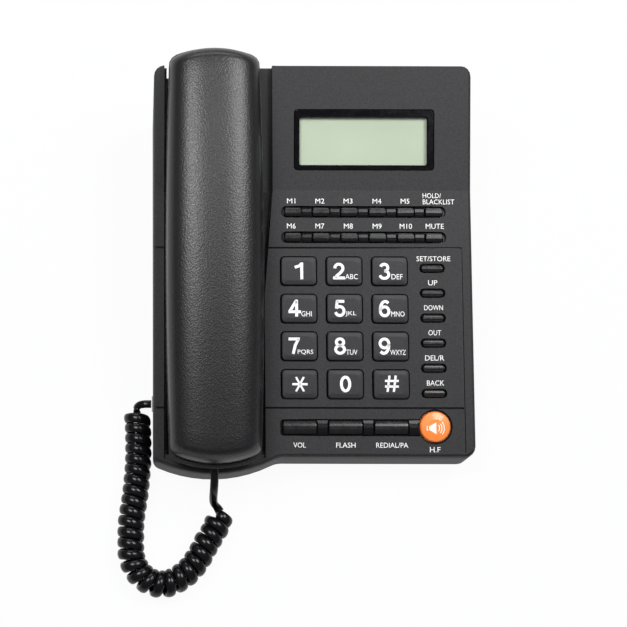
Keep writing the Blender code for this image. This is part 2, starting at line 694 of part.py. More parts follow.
def folded_prism(bm, left, margin, front, rear, low, high):
    """Prism along the cradle that folds up with the display section and widens up to the crease.

    low and high are depths from the face; margin widens the right-hand side.
    """
    waist = CRADLE_WAIST_SHARE * CREASE_REACH
    narrow = CRADLE_FRONT_RIGHT + margin
    rear_right = CRADLE_RIGHT - CRADLE_REAR_NARROWING + margin
    rise = (rear - CREASE_REACH) * tan(DISPLAY_BEND)
    stations = (
        (front, narrow, 0.0), (waist, narrow, 0.0),
        (CREASE_REACH, CRADLE_RIGHT + margin, 0.0), (rear, rear_right, rise),
    )
    loft(bm, [
        [(left, v, low + lift), (right, v, low + lift), (right, v, high + lift), (left, v, high + lift)]
        for v, right, lift in stations
    ])


def cradle_tub(face):
    """Slab, trough and wells that hang under the lid around the handset."""
    reach = CREASE_REACH + DISPLAY_REACH
    bm = bmesh.new()
    tub_low = -CRADLE_DEPTH - CRADLE_WALL
    left = CRADLE_LEFT - CRADLE_SIDE_WALL
    folded_prism(bm, left, CRADLE_WALL, CRADLE_FRONT - CRADLE_WALL, reach, tub_low, -SKIN_OVERLAP)
    tub_object = cutter("cradle_tub", bm, face)
    boolean(tub_object, rim_block(), "UNION")
    depth = WELL_BOTTOM_W - CRADLE_WALL
    mouth = well_cut("mouth_well_shell", face, mouth_well(CRADLE_WALL, WELL_FRONT_WALL), depth, -SHELF_DEPTH)
    boolean(tub_object, mouth, "UNION")
    ear = well_cut("ear_well_shell", face, ear_well(CRADLE_WALL, 0.0), depth, 0.0)
    boolean(tub_object, ear, "UNION")
    boolean(tub_object, body_envelope(), "INTERSECT")
    return tub_object


def rim_block():
    """Slab that backs the rim around the cradle, just under the skin of the lid."""
    bm = bmesh.new()
    right = CRADLE_RIGHT + CRADLE_WALL
    lobe_x, lobe_y = lobe_centre()
    inset = SHELF_BLOCK_INSET
    outline = [point for point in body_outline(inset) if point[0] < right]
    rear = BODY_DEPTH - inset
    radius = LOBE_RADIUS - inset
    front = lobe_y - sqrt(radius ** 2 - (right - lobe_x) ** 2)
    outline += [(right, front), (right, CREASE_Y), (right, rear)]
    low = [(x, y, top_height(y) - SHELF_BLOCK_DEPTH) for x, y in outline]
    high = [(x, y, top_height(y) - SKIN_OVERLAP) for x, y in outline]
    loops = loft_sides(bm, low, high)
    right_index = len(outline) - 2
    left_index = next(i for i, point in enumerate(outline) if point[0] < 0 and point[1] == CREASE_Y)
    for loop in loops:
        bm.faces.new(loop[left_index:right_index + 1])
        bm.faces.new(loop[right_index:] + loop[:left_index + 1])
    return cutter("rim_block", bm)


def loft_sides(bm, low, high):
    """Skin two rings without caps."""
    loops = [[bm.verts.new(point) for point in loop] for loop in (low, high)]
    count = len(low)
    for i in range(count):
        j = (i + 1) % count
        bm.faces.new((loops[0][i], loops[0][j], loops[1][j], loops[1][i]))
    return loops


def body_envelope():
    """Space that the housing may fill, up to just under its skin."""
    bm = bmesh.new()
    inset = SKIN_OVERLAP
    housing_loft(bm, [
        ring(inset, lambda y: 0.0),
        ring(inset, lambda y: top_height(y) - SKIN_OVERLAP / 2),
    ], first_flat=True)
    return cutter("body_envelope", bm)


def mouth_well(margin, front_wall):
    """Outline of the well for the mouth cap, widened by a margin."""
    half = WELL_WIDTH / 2 + margin
    left = HANDSET_CENTRE_U - half
    right = HANDSET_CENTRE_U + half
    front = lobe_edge(WELL_FRONT_INSET + SHELF_RIM - front_wall, left, right)
    rear = MOUTH_WELL_REAR + margin
    radius = WELL_CORNER_RADIUS + margin
    points = front
    points += arc((right - radius, rear - radius), radius, 0.0, pi / 2, CORNER_STEPS)
    points += arc((left + radius, rear - radius), radius, pi / 2, pi, CORNER_STEPS)
    return points


def ear_well(margin, overrun):
    """Outline of the well for the ear cap, open at the rear of the housing."""
    half = WELL_WIDTH / 2 + margin
    left = HANDSET_CENTRE_U - half
    right = HANDSET_CENTRE_U + half
    front = EAR_WELL_FRONT - margin
    rear = CREASE_REACH + DISPLAY_REACH + overrun
    radius = WELL_CORNER_RADIUS + margin
    points = arc((left + radius, front + radius), radius, pi, 3 * pi / 2, CORNER_STEPS)
    points += arc((right - radius, front + radius), radius, 3 * pi / 2, 2 * pi, CORNER_STEPS)
    points += [(right, rear), (left, rear)]
    return points


def well_cut(name, face, outline, low, high=CUT_OVERRUN):
    """Prism of a well, square to the key face."""
    bm = bmesh.new()
    add_prism(bm, outline, low, high)
    return cutter(name, bm, face)


def cradle_cut(face):
    """Trough under the grip, with the shallow shelf behind the lobe's rim."""
    bm = bmesh.new()
    reach = CREASE_REACH + DISPLAY_REACH + CUT_OVERRUN
    folded_prism(bm, CRADLE_LEFT, 0.0, CRADLE_FRONT, reach, -CRADLE_DEPTH, 2 * CUT_OVERRUN)
    trough_object = cutter("cradle_cut", bm, face)
    bm = bmesh.new()
    shelf = lobe_edge(SHELF_RIM, CRADLE_LEFT, CRADLE_FRONT_RIGHT)
    rear = CRADLE_FRONT + CRADLE_WALL
    shelf += [(CRADLE_FRONT_RIGHT, rear), (CRADLE_LEFT, rear)]
    add_prism(bm, shelf, -SHELF_DEPTH, CUT_OVERRUN)
    boolean(trough_object, cutter("shelf_cut", bm, face), "UNION")
    return trough_object


def post_places():
    """Face places of the posts that hold the board."""
    return (
        (BOARD_POST_LEFT_U, BOARD_POST_REAR_V), (BOARD_POST_RIGHT_U, BOARD_POST_REAR_V),
        (BOARD_POST_LEFT_U, BOARD_POST_FRONT_V), (BOARD_POST_RIGHT_U, BOARD_POST_SIDE_V),
    )


def lid_posts(face):
    """Posts from the lid's ceiling down to the board."""
    bm = bmesh.new()
    for place in post_places():
        add_prism(bm, circle(BOARD_POST_RADIUS, 10, place), SEAT_GAP - BOARD_TOP, -HOUSING_WALL / 2)
    return cutter("lid_posts", bm, face)


def boss_places():
    """Plan places of the four screw bosses that join the housings."""
    right = BODY_WIDTH / 2 - BOSS_INSET
    return (
        (right, BOSS_FRONT_Y), (right, BOSS_REAR_Y),
        (BOSS_CRADLE_X, BOSS_CRADLE_FRONT_Y), (BOSS_CRADLE_X, BOSS_CRADLE_REAR_Y),
    )


def boss_joint(place):
    """Height at which an upper and a lower boss meet."""
    return top_height(place[1]) - BOSS_JOINT_DROP


def lid_bosses():
    """Upper halves of the screw bosses."""
    bm = bmesh.new()
    for place in boss_places():
        depth = HOUSING_WALL / 2
        if place[0] < 0:
            depth = CRADLE_DEPTH + CRADLE_WALL / 2
        add_prism(bm, circle(BOSS_RADIUS, 12, place), boss_joint(place), top_height(place[1]) - depth)
    return cutter("lid_bosses", bm)


def boss_pilots():
    """Pilot holes for the screws in the upper bosses."""
    bm = bmesh.new()
    for place in boss_places():
        top = top_height(place[1]) - CRADLE_DEPTH - CRADLE_WALL
        add_prism(bm, circle(BOSS_BORE, 8, place), boss_joint(place) - CUT_OVERRUN, top)
    return cutter("boss_pilots", bm)


def dial_places():
    """Face places of the twelve dial keys, row by row."""
    places = []
    for row in range(4):
        for column in range(3):
            u = DIAL_COLUMN_U + column * DIAL_COLUMN_PITCH
            places.append((u, DIAL_ROW_V - row * DIAL_ROW_PITCH))
    return places


def memory_places():
    """Face places of the two rows of memory keys."""
    places = []
    for row in range(2):
        for column in range(6):
            u = MEMORY_KEY_U + column * MEMORY_KEY_PITCH
            places.append((u, MEMORY_ROW_V - row * MEMORY_ROW_PITCH))
    return places


def side_places():
    """Face places of the keys right of the dial."""
    return [(SIDE_KEY_U, SIDE_KEY_V - i * SIDE_KEY_PITCH) for i in range(6)]


def function_places():
    """Face places of the keys below the dial."""
    return [(DIAL_COLUMN_U + i * DIAL_COLUMN_PITCH, FUNCTION_KEY_V) for i in range(3)]


def key_holes(face):
    """Through holes for all keys, one prism each."""
    low = -HOUSING_WALL - KEY_SEAT
    high = CUT_OVERRUN / 2
    sets = (
        (dial_places(), DIAL_KEY_WIDTH, DIAL_KEY_LENGTH, DIAL_KEY_RADIUS),
        (memory_places(), MEMORY_KEY_WIDTH, MEMORY_KEY_LENGTH, MEMORY_KEY_RADIUS),
        (side_places(), SIDE_KEY_WIDTH, SIDE_KEY_LENGTH, SIDE_KEY_RADIUS),
        (function_places(), FUNCTION_KEY_WIDTH, FUNCTION_KEY_LENGTH, FUNCTION_KEY_RADIUS),
    )
    bm = bmesh.new()
    for places, width, length, radius in sets:
        for place in places:
            size = (width + 2 * KEY_GAP, length + 2 * KEY_GAP, radius + KEY_GAP)
            add_prism(bm, rounded_rect(*size, centre=place), low, high)
    place = (HANDS_FREE_U, HANDS_FREE_V)
    add_prism(bm, circle(HANDS_FREE_RADIUS + KEY_GAP, HANDS_FREE_SIDES, place), low, high)
    return cutter("key_holes", bm, face)


def add_trough(bm, left, right, centre_v, length):
    """Add a trough along u whose floor is arched, so that the lands between keys look like rods."""
    half = length / 2
    edge = -TROUGH_EDGE_DEPTH
    rise = TROUGH_EDGE_DEPTH - TROUGH_LAND_DEPTH
    side = [(centre_v + half, CUT_OVERRUN), (centre_v - half, CUT_OVERRUN)]
    steps = 6
    for i in range(steps + 1):
        angle = pi * i / steps
        side.append((centre_v - half * cos(angle), edge + rise * sin(angle)))
    loft(bm, [[(left, v, w) for v, w in side], [(right, v, w) for v, w in side]])


def trough_end(end, key_u, centre_v, length, round_share):
    """Outline of a trough's deep end, from its rounded corners to just past its last key's middle."""
    half = length / 2 * TROUGH_END_SHARE
    radius = half * round_share
    way = 1 if key_u > end else -1
    points = []
    for side, start in ((1, pi / 2), (-1, pi)):
        middle = (radius, centre_v + side * (half - radius))
        points += arc(middle, radius, start, start + pi / 2, CORNER_STEPS)
    inside = abs(key_u - end) + TROUGH_END_LAP
    points += [(inside, centre_v - half), (inside, centre_v + half)]
    return [(end + way * along, v) for along, v in points]


def trough_cut(face):
    """Troughs that the memory keys and the function keys stand in."""
    bm = bmesh.new()
    ends = bmesh.new()
    last = MEMORY_KEY_U + 5 * MEMORY_KEY_PITCH
    reach = MEMORY_KEY_WIDTH / 2 + MEMORY_TROUGH_MARGIN
    for row in range(2):
        centre = MEMORY_ROW_V - row * MEMORY_ROW_PITCH
        add_trough(bm, MEMORY_KEY_U, last, centre, MEMORY_TROUGH_LENGTH)
        for end, key_u in ((MEMORY_KEY_U - reach, MEMORY_KEY_U), (last + reach, last)):
            outline = trough_end(end, key_u, centre, MEMORY_TROUGH_LENGTH, MEMORY_END_ROUND_SHARE)
            add_prism(ends, outline, -TROUGH_EDGE_DEPTH, 2 * CUT_OVERRUN)
    add_trough(bm, DIAL_COLUMN_U, HANDS_FREE_U - HANDS_FREE_RADIUS, FUNCTION_KEY_V, FUNCTION_TROUGH_LENGTH)
    end = DIAL_COLUMN_U - FUNCTION_KEY_WIDTH / 2 - FUNCTION_TROUGH_MARGIN
    outline = trough_end(end, DIAL_COLUMN_U, FUNCTION_KEY_V, FUNCTION_TROUGH_LENGTH, FUNCTION_END_ROUND_SHARE)
    add_prism(ends, outline, -TROUGH_EDGE_DEPTH, 2 * CUT_OVERRUN)
    troughs = cutter("trough_cut", bm, face)
    boolean(troughs, cutter("trough_ends", ends, face), "UNION")
    return troughs


def hands_free_recess(face):
    """Shallow ring around the hands-free key."""
    bm = bmesh.new()
    outline = circle(HANDS_FREE_RECESS_RADIUS, HANDS_FREE_SIDES, (HANDS_FREE_U, HANDS_FREE_V))
    add_prism(bm, outline, -HANDS_FREE_RECESS_DEPTH, CUT_OVERRUN)
    return cutter("hands_free_recess", bm, face)


def groove_cut(face):
    """Two grooves across the face and the cradle's left rim."""
    bm = bmesh.new()
    half = GROOVE_WIDTH / 2
    outside = -BODY_WIDTH / 2 - CUT_OVERRUN
    for v in (UPPER_GROOVE_V, LOWER_GROOVE_V):
        low = (CRADLE_FRONT_RIGHT - HOUSING_WALL, v - half, -GROOVE_DEPTH)
        add_box(bm, low, (SEAM_U - SEAM_WIDTH, v + half, CUT_OVERRUN))
        low = (outside, v - half, -GROOVE_DEPTH)
        add_box(bm, low, (CRADLE_LEFT + HOUSING_WALL, v + half, CUT_OVERRUN))
    return cutter("groove_cut", bm, face)


def seam_cut(face):
    """Fine seam between the key panel and the right-hand border."""
    bm = bmesh.new()
    low = (SEAM_U - SEAM_WIDTH / 2, SEAM_FRONT, -SEAM_DEPTH)
    add_box(bm, low, (SEAM_U + SEAM_WIDTH / 2, UPPER_GROOVE_V + GROOVE_WIDTH / 2, CUT_OVERRUN))
    return cutter("seam_cut", bm, face)


def bezel_frame():
    """Centre, width and length of the display bezel."""
    centre = ((BEZEL_LEFT + BEZEL_RIGHT) / 2, (BEZEL_FRONT + BEZEL_REAR) / 2)
    return centre, BEZEL_RIGHT - BEZEL_LEFT, BEZEL_REAR - BEZEL_FRONT


def screen_frame():
    """Centre, width and length of the visible screen."""
    centre = ((SCREEN_LEFT + SCREEN_RIGHT) / 2, (SCREEN_FRONT + SCREEN_REAR) / 2)
    return centre, SCREEN_RIGHT - SCREEN_LEFT, SCREEN_REAR - SCREEN_FRONT


def display_seat(display):
    """Recess that the bezel drops into."""
    bm = bmesh.new()
    centre, width, length = bezel_frame()
    gap = 2 * SEAT_GAP
    outline = rounded_rect(width + gap, length + gap, BEZEL_RADIUS + SEAT_GAP, centre=centre)
    add_prism(bm, outline, BEZEL_PROUD - BEZEL_THICKNESS - SEAT_GAP, CUT_OVERRUN)
    return cutter("display_seat", bm, display)


def display_opening(display):
    """Opening under the bezel, where the window shows the screen."""
    bm = bmesh.new()
    centre, width, length = screen_frame()
    grow = 2 * (WINDOW_MARGIN + SEAT_GAP)
    outline = rounded_rect(width + grow, length + grow, SCREEN_RADIUS + SEAT_GAP, centre=centre)
    add_prism(bm, outline, -HOUSING_WALL - KEY_SEAT, CUT_OVERRUN)
    return cutter("display_opening", bm, display)


def display_parts(display):
    """Bezel, clear window and liquid crystal panel."""
    top = BEZEL_PROUD
    low = top - BEZEL_THICKNESS
    centre, width, length = bezel_frame()
    middle, wide, long = screen_frame()
    chamfer = BEZEL_CHAMFER
    bm = bmesh.new()
    outer = rounded_rect(width, length, BEZEL_RADIUS, centre=centre)
    crest = rounded_rect(width - chamfer, length - chamfer, BEZEL_RADIUS, centre=centre)
    grow = 2 * chamfer
    mouth = rounded_rect(wide + grow, long + grow, SCREEN_RADIUS + chamfer, centre=middle)
    throat = rounded_rect(wide, long, SCREEN_RADIUS, centre=middle)
    loft(bm, [
        at_height(outer, low), at_height(outer, top - chamfer / 2), at_height(crest, top),
        at_height(mouth, top), at_height(throat, top - chamfer), at_height(throat, low),
    ], closed=True)
    link("display_bezel", mesh_from(bm, "display_bezel"), display, look="bezel")
    bm = bmesh.new()
    margin = 2 * WINDOW_MARGIN
    pane_top = low - SEAT_GAP
    pane_low = pane_top - WINDOW_THICKNESS
    outline = rounded_rect(wide + margin, long + margin, SCREEN_RADIUS, centre=middle)
    add_prism(bm, outline, pane_low, pane_top)
    link("display_window", mesh_from(bm, "display_window"), display, look="window")
    bm = bmesh.new()
    lcd_top = min(pane_low, -HOUSING_WALL) - SEAT_GAP
    grow = 2 * LCD_MARGIN
    outline = rounded_rect(wide + grow, long + grow, SCREEN_RADIUS, 1, middle)
    crest = rounded_rect(wide + grow - LCD_CHAMFER, long + grow - LCD_CHAMFER, SCREEN_RADIUS, 1, middle)
    loft(bm, [
        at_height(outline, lcd_top - LCD_THICKNESS), at_height(outline, lcd_top - LCD_CHAMFER),
        at_height(crest, lcd_top),
    ])
    link("lcd_panel", mesh_from(bm, "lcd_panel"), display, look="lcd")


def key_rings(width, length, radius):
    """Flange and stem rings that every rectangular key starts with."""
    grow = 2 * FLANGE_MARGIN
    flange = rounded_rect(width + grow, length + grow, radius + FLANGE_MARGIN)
    stem = rounded_rect(width, length, radius)
    return [
        at_height(flange, -KEY_SEAT - FLANGE_THICKNESS), at_height(flange, -KEY_SEAT),
        at_height(stem, -KEY_SEAT),
    ]


def dial_key_mesh():
    """Dial key: flat pad with an eased edge and a faint crown."""
    bm = bmesh.new()
    rings = key_rings(DIAL_KEY_WIDTH, DIAL_KEY_LENGTH, DIAL_KEY_RADIUS)
    shoulder = DIAL_KEY_RISE - DIAL_KEY_CROWN
    stem = rounded_rect(DIAL_KEY_WIDTH, DIAL_KEY_LENGTH, DIAL_KEY_RADIUS)
    rings.append(at_height(stem, shoulder - DIAL_KEY_BEVEL))
    for inset, height in ((DIAL_KEY_BEVEL, shoulder), (DIAL_KEY_CROWN_INSET, DIAL_KEY_RISE)):
        pad = rounded_rect(DIAL_KEY_WIDTH - 2 * inset, DIAL_KEY_LENGTH - 2 * inset, DIAL_KEY_RADIUS)
        rings.append(at_height(pad, height))
    loft(bm, rings)
    return mesh_from(bm, "dial_key")


def rod_key_mesh(name, width, length, radius):
    """Small key with a half-round top, like a short rod lying in its trough."""
    bm = bmesh.new()
    rings = key_rings(width, length, radius)
    base = -ROD_RISE / 2 - ROD_TOP_DROP
    for rise_share, length_share in ROD_SHARES:
        inset = radius * rise_share / 2
        band = rounded_rect(width - 2 * inset, length * length_share, radius * length_share)
        rings.append(at_height(band, base + ROD_RISE * rise_share))
    loft(bm, rings)
    return mesh_from(bm, name)


def hands_free_mesh():
    """Round key with an eased edge and a low dome."""
    bm = bmesh.new()
    radius = HANDS_FREE_RADIUS
    shoulder = HANDS_FREE_RISE - HANDS_FREE_DOME
    profile = (
        (radius + FLANGE_MARGIN, -KEY_SEAT - FLANGE_THICKNESS), (radius + FLANGE_MARGIN, -KEY_SEAT),
        (radius, -KEY_SEAT), (radius, shoulder - HANDS_FREE_BEVEL),
        (radius - HANDS_FREE_BEVEL, shoulder), (radius / 2, HANDS_FREE_RISE),
    )
    loft(bm, [at_height(circle(size, HANDS_FREE_SIDES), height) for size, height in profile])
    return mesh_from(bm, "hands_free_key")


def keys(face):
    """All keys, each its own object at its place on the face."""
    dial_names = ("1", "2", "3", "4", "5", "6", "7", "8", "9", "star", "0", "hash")
    mesh = dial_key_mesh()
    for name, (u, v) in zip(dial_names, dial_places()):
        link("key_" + name, mesh, face, (u, v, 0), "dial_key")
    memory_names = ["memory_1", "memory_2", "memory_3", "memory_4", "memory_5", "hold"]
    memory_names += ["memory_6", "memory_7", "memory_8", "memory_9", "memory_10", "mute"]
    mesh = rod_key_mesh("memory_key", MEMORY_KEY_WIDTH, MEMORY_KEY_LENGTH, MEMORY_KEY_RADIUS)
    for name, (u, v) in zip(memory_names, memory_places()):
        link("key_" + name, mesh, face, (u, v, 0), "small_key")
    side_names = ("set", "up", "down", "out", "delete", "call_back")
    mesh = rod_key_mesh("side_key", SIDE_KEY_WIDTH, SIDE_KEY_LENGTH, SIDE_KEY_RADIUS)
    for name, (u, v) in zip(side_names, side_places()):
        link("key_" + name, mesh, face, (u, v, 0), "small_key")
    mesh = rod_key_mesh("function_key", FUNCTION_KEY_WIDTH, FUNCTION_KEY_LENGTH, FUNCTION_KEY_RADIUS)
    for name, (u, v) in zip(("volume", "flash", "redial"), function_places()):
        link("key_" + name, mesh, face, (u, v, 0), "small_key")
    link("key_hands_free", hands_free_mesh(), face, (HANDS_FREE_U, HANDS_FREE_V, 0), "orange_key")


def keypad_mat(face):
    """Rubber mat on the board, with one contact dome under each key."""
    bm = bmesh.new()
    add_box(bm, (MAT_LEFT, MAT_FRONT, -MAT_BOTTOM), (MAT_RIGHT, MAT_REAR, -MAT_TOP))
    mat = link("keypad_mat", mesh_from(bm, "keypad_mat"), face, look="mat")
    bm = bmesh.new()
    places = dial_places() + memory_places() + side_places() + function_places()
    places.append((HANDS_FREE_U, HANDS_FREE_V))
    small = MAT_DOME_RADIUS * MAT_DOME_TAPER_SHARE
    for place in places:
        base = at_height(circle(MAT_DOME_RADIUS, 4, place), -MAT_TOP - MAT_THICKNESS / 2)
        loft(bm, [base, at_height(circle(small, 4, place), -DOME_TOP)])
    boolean(mat, cutter("mat_domes", bm, face), "UNION")


def main_board(face):
    """Circuit board under the mat and the display, held against the lid's posts."""
    bm = bmesh.new()
    low = (BOARD_LEFT, BOARD_FRONT, -BOARD_TOP - BOARD_THICKNESS)
    add_box(bm, low, (BOARD_RIGHT, BOARD_REAR, -BOARD_TOP))
    board = link("main_board", mesh_from(bm, "main_board"), face, look="board")
    bm = bmesh.new()
    for place in post_places():
        outline = circle(BOARD_POST_RADIUS / 2, 8, place)
        add_prism(bm, outline, -BOARD_TOP - CUT_OVERRUN, CUT_OVERRUN - BOARD_TOP)
    boolean(board, cutter("board_holes", bm, face), "DIFFERENCE")


def lower_housing():
    """Deep tray with bosses, sockets' holes, speaker slots, keyholes and foot recesses."""
    bm = bmesh.new()
    base = UNDERSIDE_HEIGHT
    housing_loft(bm, [
        ring(UNDERSIDE_CHAMFER, lambda y: base),
        ring(0.0, lambda y: base + UNDERSIDE_CHAMFER),
        ring(0.0, lambda y: part_height(y) - PART_GAP),
        ring(HOUSING_WALL, lambda y: part_height(y) - PART_GAP),
        ring(HOUSING_WALL, lambda y: FLOOR_TOP),
    ], first_flat=True, last_flat=True)
    tray = link("lower_housing", mesh_from(bm, "lower_housing"), look="housing")
    boolean(tray, tray_bosses(), "UNION")
    boolean(tray, speaker_ring(), "UNION")
    boolean(tray, tray_bores(), "DIFFERENCE")
    boolean(tray, tray_cuts(), "DIFFERENCE")
    return tray


def tray_bosses():
    """Lower halves of the screw bosses."""
    bm = bmesh.new()
    for place in boss_places():
        add_prism(bm, circle(BOSS_RADIUS, 12, place), base_middle(), boss_joint(place) - SEAT_GAP)
    return cutter("tray_bosses", bm)


def base_middle():
    """Height of the middle of the floor, where joined pieces are rooted."""
    return UNDERSIDE_HEIGHT + FLOOR_THICKNESS / 2


def speaker_ring():
    """Low collar that locates the speaker."""
    bm = bmesh.new()
    place = (SPEAKER_X, SPEAKER_Y)
    inner = SPEAKER_RADIUS + SEAT_GAP
    outer = inner + SPEAKER_RING_WIDTH
    low = base_middle()
    high = FLOOR_TOP + SPEAKER_RING_HEIGHT
    sides = 24
    loft(bm, [
        at_height(circle(outer, sides, place), low), at_height(circle(outer, sides, place), high),
        at_height(circle(inner, sides, place), high), at_height(circle(inner, sides, place), low),
    ], closed=True)
    return cutter("speaker_ring", bm)


def tray_bores():
    """Screw holes and counterbores up through the lower bosses."""
    bm = bmesh.new()
    for place in boss_places():
        seat = boss_joint(place) - BOSS_SEAT
        wide = circle(BOSS_COUNTERBORE, 8, place)
        fine = circle(BOSS_BORE, 8, place)
        loft(bm, [
            at_height(wide, -CUT_OVERRUN), at_height(wide, seat), at_height(fine, seat),
            at_height(fine, boss_joint(place) + CUT_OVERRUN / 2),
        ])
    return cutter("tray_bores", bm)


def foot_places():
    """Plan places of the four feet."""
    x = BODY_WIDTH / 2 - FOOT_INSET_X
    return ((-x, FOOT_INSET_Y), (x, FOOT_INSET_Y), (x, BODY_DEPTH - FOOT_INSET_Y), (-x, BODY_DEPTH - FOOT_INSET_Y))


def keyhole(place):
    """Outline of a wall-hanging keyhole, narrow end towards the rear."""
    x, y = place
    half = KEYHOLE_NECK / 2
    start = pi / 2 + atan2(half, sqrt(KEYHOLE_RADIUS ** 2 - half ** 2))
    points = arc(place, KEYHOLE_RADIUS, start, 3 * pi - start, 12)
    points += arc((x, y + KEYHOLE_LENGTH), half, 0.0, pi, 4)
    return points


def tray_cuts():
    """Speaker slots, keyholes, foot recesses and the two socket holes."""
    bm = bmesh.new()
    high = FLOOR_TOP + CUT_OVERRUN / 2
    reach = SPEAKER_RADIUS - SPEAKER_RING_WIDTH
    for i in range(SPEAKER_SLOT_COUNT):
        offset = (i - (SPEAKER_SLOT_COUNT - 1) / 2) * SPEAKER_SLOT_PITCH
        length = 2 * sqrt(reach ** 2 - offset ** 2) - 2 * SPEAKER_RING_WIDTH
        centre = (SPEAKER_X, SPEAKER_Y + offset)
        outline = rounded_rect(length, SPEAKER_SLOT_WIDTH, SPEAKER_SLOT_WIDTH / 2.01, 2, centre)
        add_prism(bm, outline, -CUT_OVERRUN, high)
    for i in range(2):
        place = (0.0, KEYHOLE_FRONT_Y + i * KEYHOLE_SPACING)
        add_prism(bm, keyhole(place), -CUT_OVERRUN, high)
    for place in foot_places():
        outline = circle(FOOT_RADIUS + SEAT_GAP, 16, place)
        add_prism(bm, outline, -CUT_OVERRUN, UNDERSIDE_HEIGHT + FOOT_RECESS)
    gap = SEAT_GAP
    wall = BODY_WIDTH / 2
    half_y = SOCKET_HEIGHT / 2 + gap
    half_z = SOCKET_WIDTH / 2 + gap / 2
    deep = HOUSING_WALL + CUT_OVERRUN / 2
    low = (-wall - CUT_OVERRUN, BASE_SOCKET_Y - half_y, BASE_SOCKET_Z - half_z)
    add_box(bm, low, (deep - wall, BASE_SOCKET_Y + half_y, BASE_SOCKET_Z + half_z))
    half_x = LINE_SOCKET_WIDTH / 2 + gap
    low = (LINE_SOCKET_X - half_x, BODY_DEPTH - deep, FLOOR_TOP)
    high_z = FLOOR_TOP + LINE_SOCKET_HEIGHT + 2 * gap
    add_box(bm, low, (LINE_SOCKET_X + half_x, BODY_DEPTH + CUT_OVERRUN, high_z))
    return cutter("tray_cuts", bm)


def feet():
    """Four rubber feet, seated in their recesses."""
    bm = bmesh.new()
    high = UNDERSIDE_HEIGHT + FOOT_RECESS - SEAT_GAP
    radius = FOOT_RADIUS
    loft(bm, [
        at_height(circle(radius - FOOT_CHAMFER, 16), 0.0), at_height(circle(radius, 16), FOOT_CHAMFER),
        at_height(circle(radius, 16), high),
    ])
    mesh = mesh_from(bm, "foot")
    names = ("foot_front_left", "foot_front_right", "foot_rear_right", "foot_rear_left")
    for name, (x, y) in zip(names, foot_places()):
        link(name, mesh, None, (x, y, 0), "rubber")


def speaker():
    """Hands-free speaker, facing down over its slots."""
    bm = bmesh.new()
    add_turned(bm, SPEAKER_SHARES, SPEAKER_RADIUS, SPEAKER_HEIGHT, 24)
    place = (SPEAKER_X, SPEAKER_Y, FLOOR_TOP + SEAT_GAP)
    link("hands_free_speaker", mesh_from(bm, "hands_free_speaker"), None, place, "steel")


def plug_mesh():
    """Modular plug along +Z, open end up, with its latch on the +Y side."""
    bm = bmesh.new()
    half_x = PLUG_WIDTH / 2
    half_y = PLUG_HEIGHT / 2
    add_box(bm, (-half_x, -half_y, 0.0), (half_x, half_y, PLUG_LENGTH))
    return mesh_from(bm, "plug", smooth=False)


def plug(name, parent):
    """Plug body with its latch, along its parent's Z."""
    made = link(name, plug_mesh(), parent, look="clear_plug")
    bm = bmesh.new()
    half = PLUG_LATCH_WIDTH / 2
    top = PLUG_HEIGHT / 2
    low = (-half, top - PLUG_LATCH_HEIGHT / 2, PLUG_LATCH_START)
    high = (half, top + PLUG_LATCH_HEIGHT - PLUG_CLEARANCE, PLUG_LATCH_START + PLUG_LATCH_LENGTH)
    add_box(bm, low, high)
    boolean(made, cutter(name + "_latch", bm, parent), "UNION")
    return made


def socket(name, parent, start, look="socket"):
    """Socket block around a plug, along its parent's Z, with its mouth at the start."""
    bm = bmesh.new()
    half_x = SOCKET_WIDTH / 2
    half_y = SOCKET_HEIGHT / 2
    end = SOCKET_DEPTH + PLUG_CLEARANCE
    add_box(bm, (-half_x, -half_y, start), (half_x, half_y, end))
    made = link(name, mesh_from(bm, name, smooth=False), parent, look=look)
    bm = bmesh.new()
    half_x = PLUG_WIDTH / 2 + PLUG_CLEARANCE
    half_y = PLUG_HEIGHT / 2 + PLUG_CLEARANCE
    add_box(bm, (-half_x, -half_y, -CUT_OVERRUN), (half_x, half_y, PLUG_LENGTH + PLUG_CLEARANCE))
    cavity = cutter(name + "_cavity", bm, parent)
    bm = bmesh.new()
    half = PLUG_LATCH_WIDTH / 2 + PLUG_CLEARANCE
    low = (-half, 0.0, -CUT_OVERRUN)
    high = (half, PLUG_HEIGHT / 2 + PLUG_LATCH_HEIGHT + PLUG_CLEARANCE, PLUG_LENGTH - PLUG_LATCH_HEIGHT)
    add_box(bm, low, high)
    boolean(cavity, cutter(name + "_latch_way", bm, parent), "UNION")
    boolean(made, cavity, "DIFFERENCE")
    return made


def base_socket():
    """Socket and plug in the left wall, for the handset cord."""
    frame = empty("base_socket_frame")
    frame.location = (-BODY_WIDTH / 2 - BASE_PLUG_PROUD, BASE_SOCKET_Y, BASE_SOCKET_Z)
    frame.rotation_euler = (0, pi / 2, 0)
    socket("handset_socket", frame, BASE_PLUG_PROUD + BASE_SOCKET_INSET)
    plug("plug_base_end", frame)


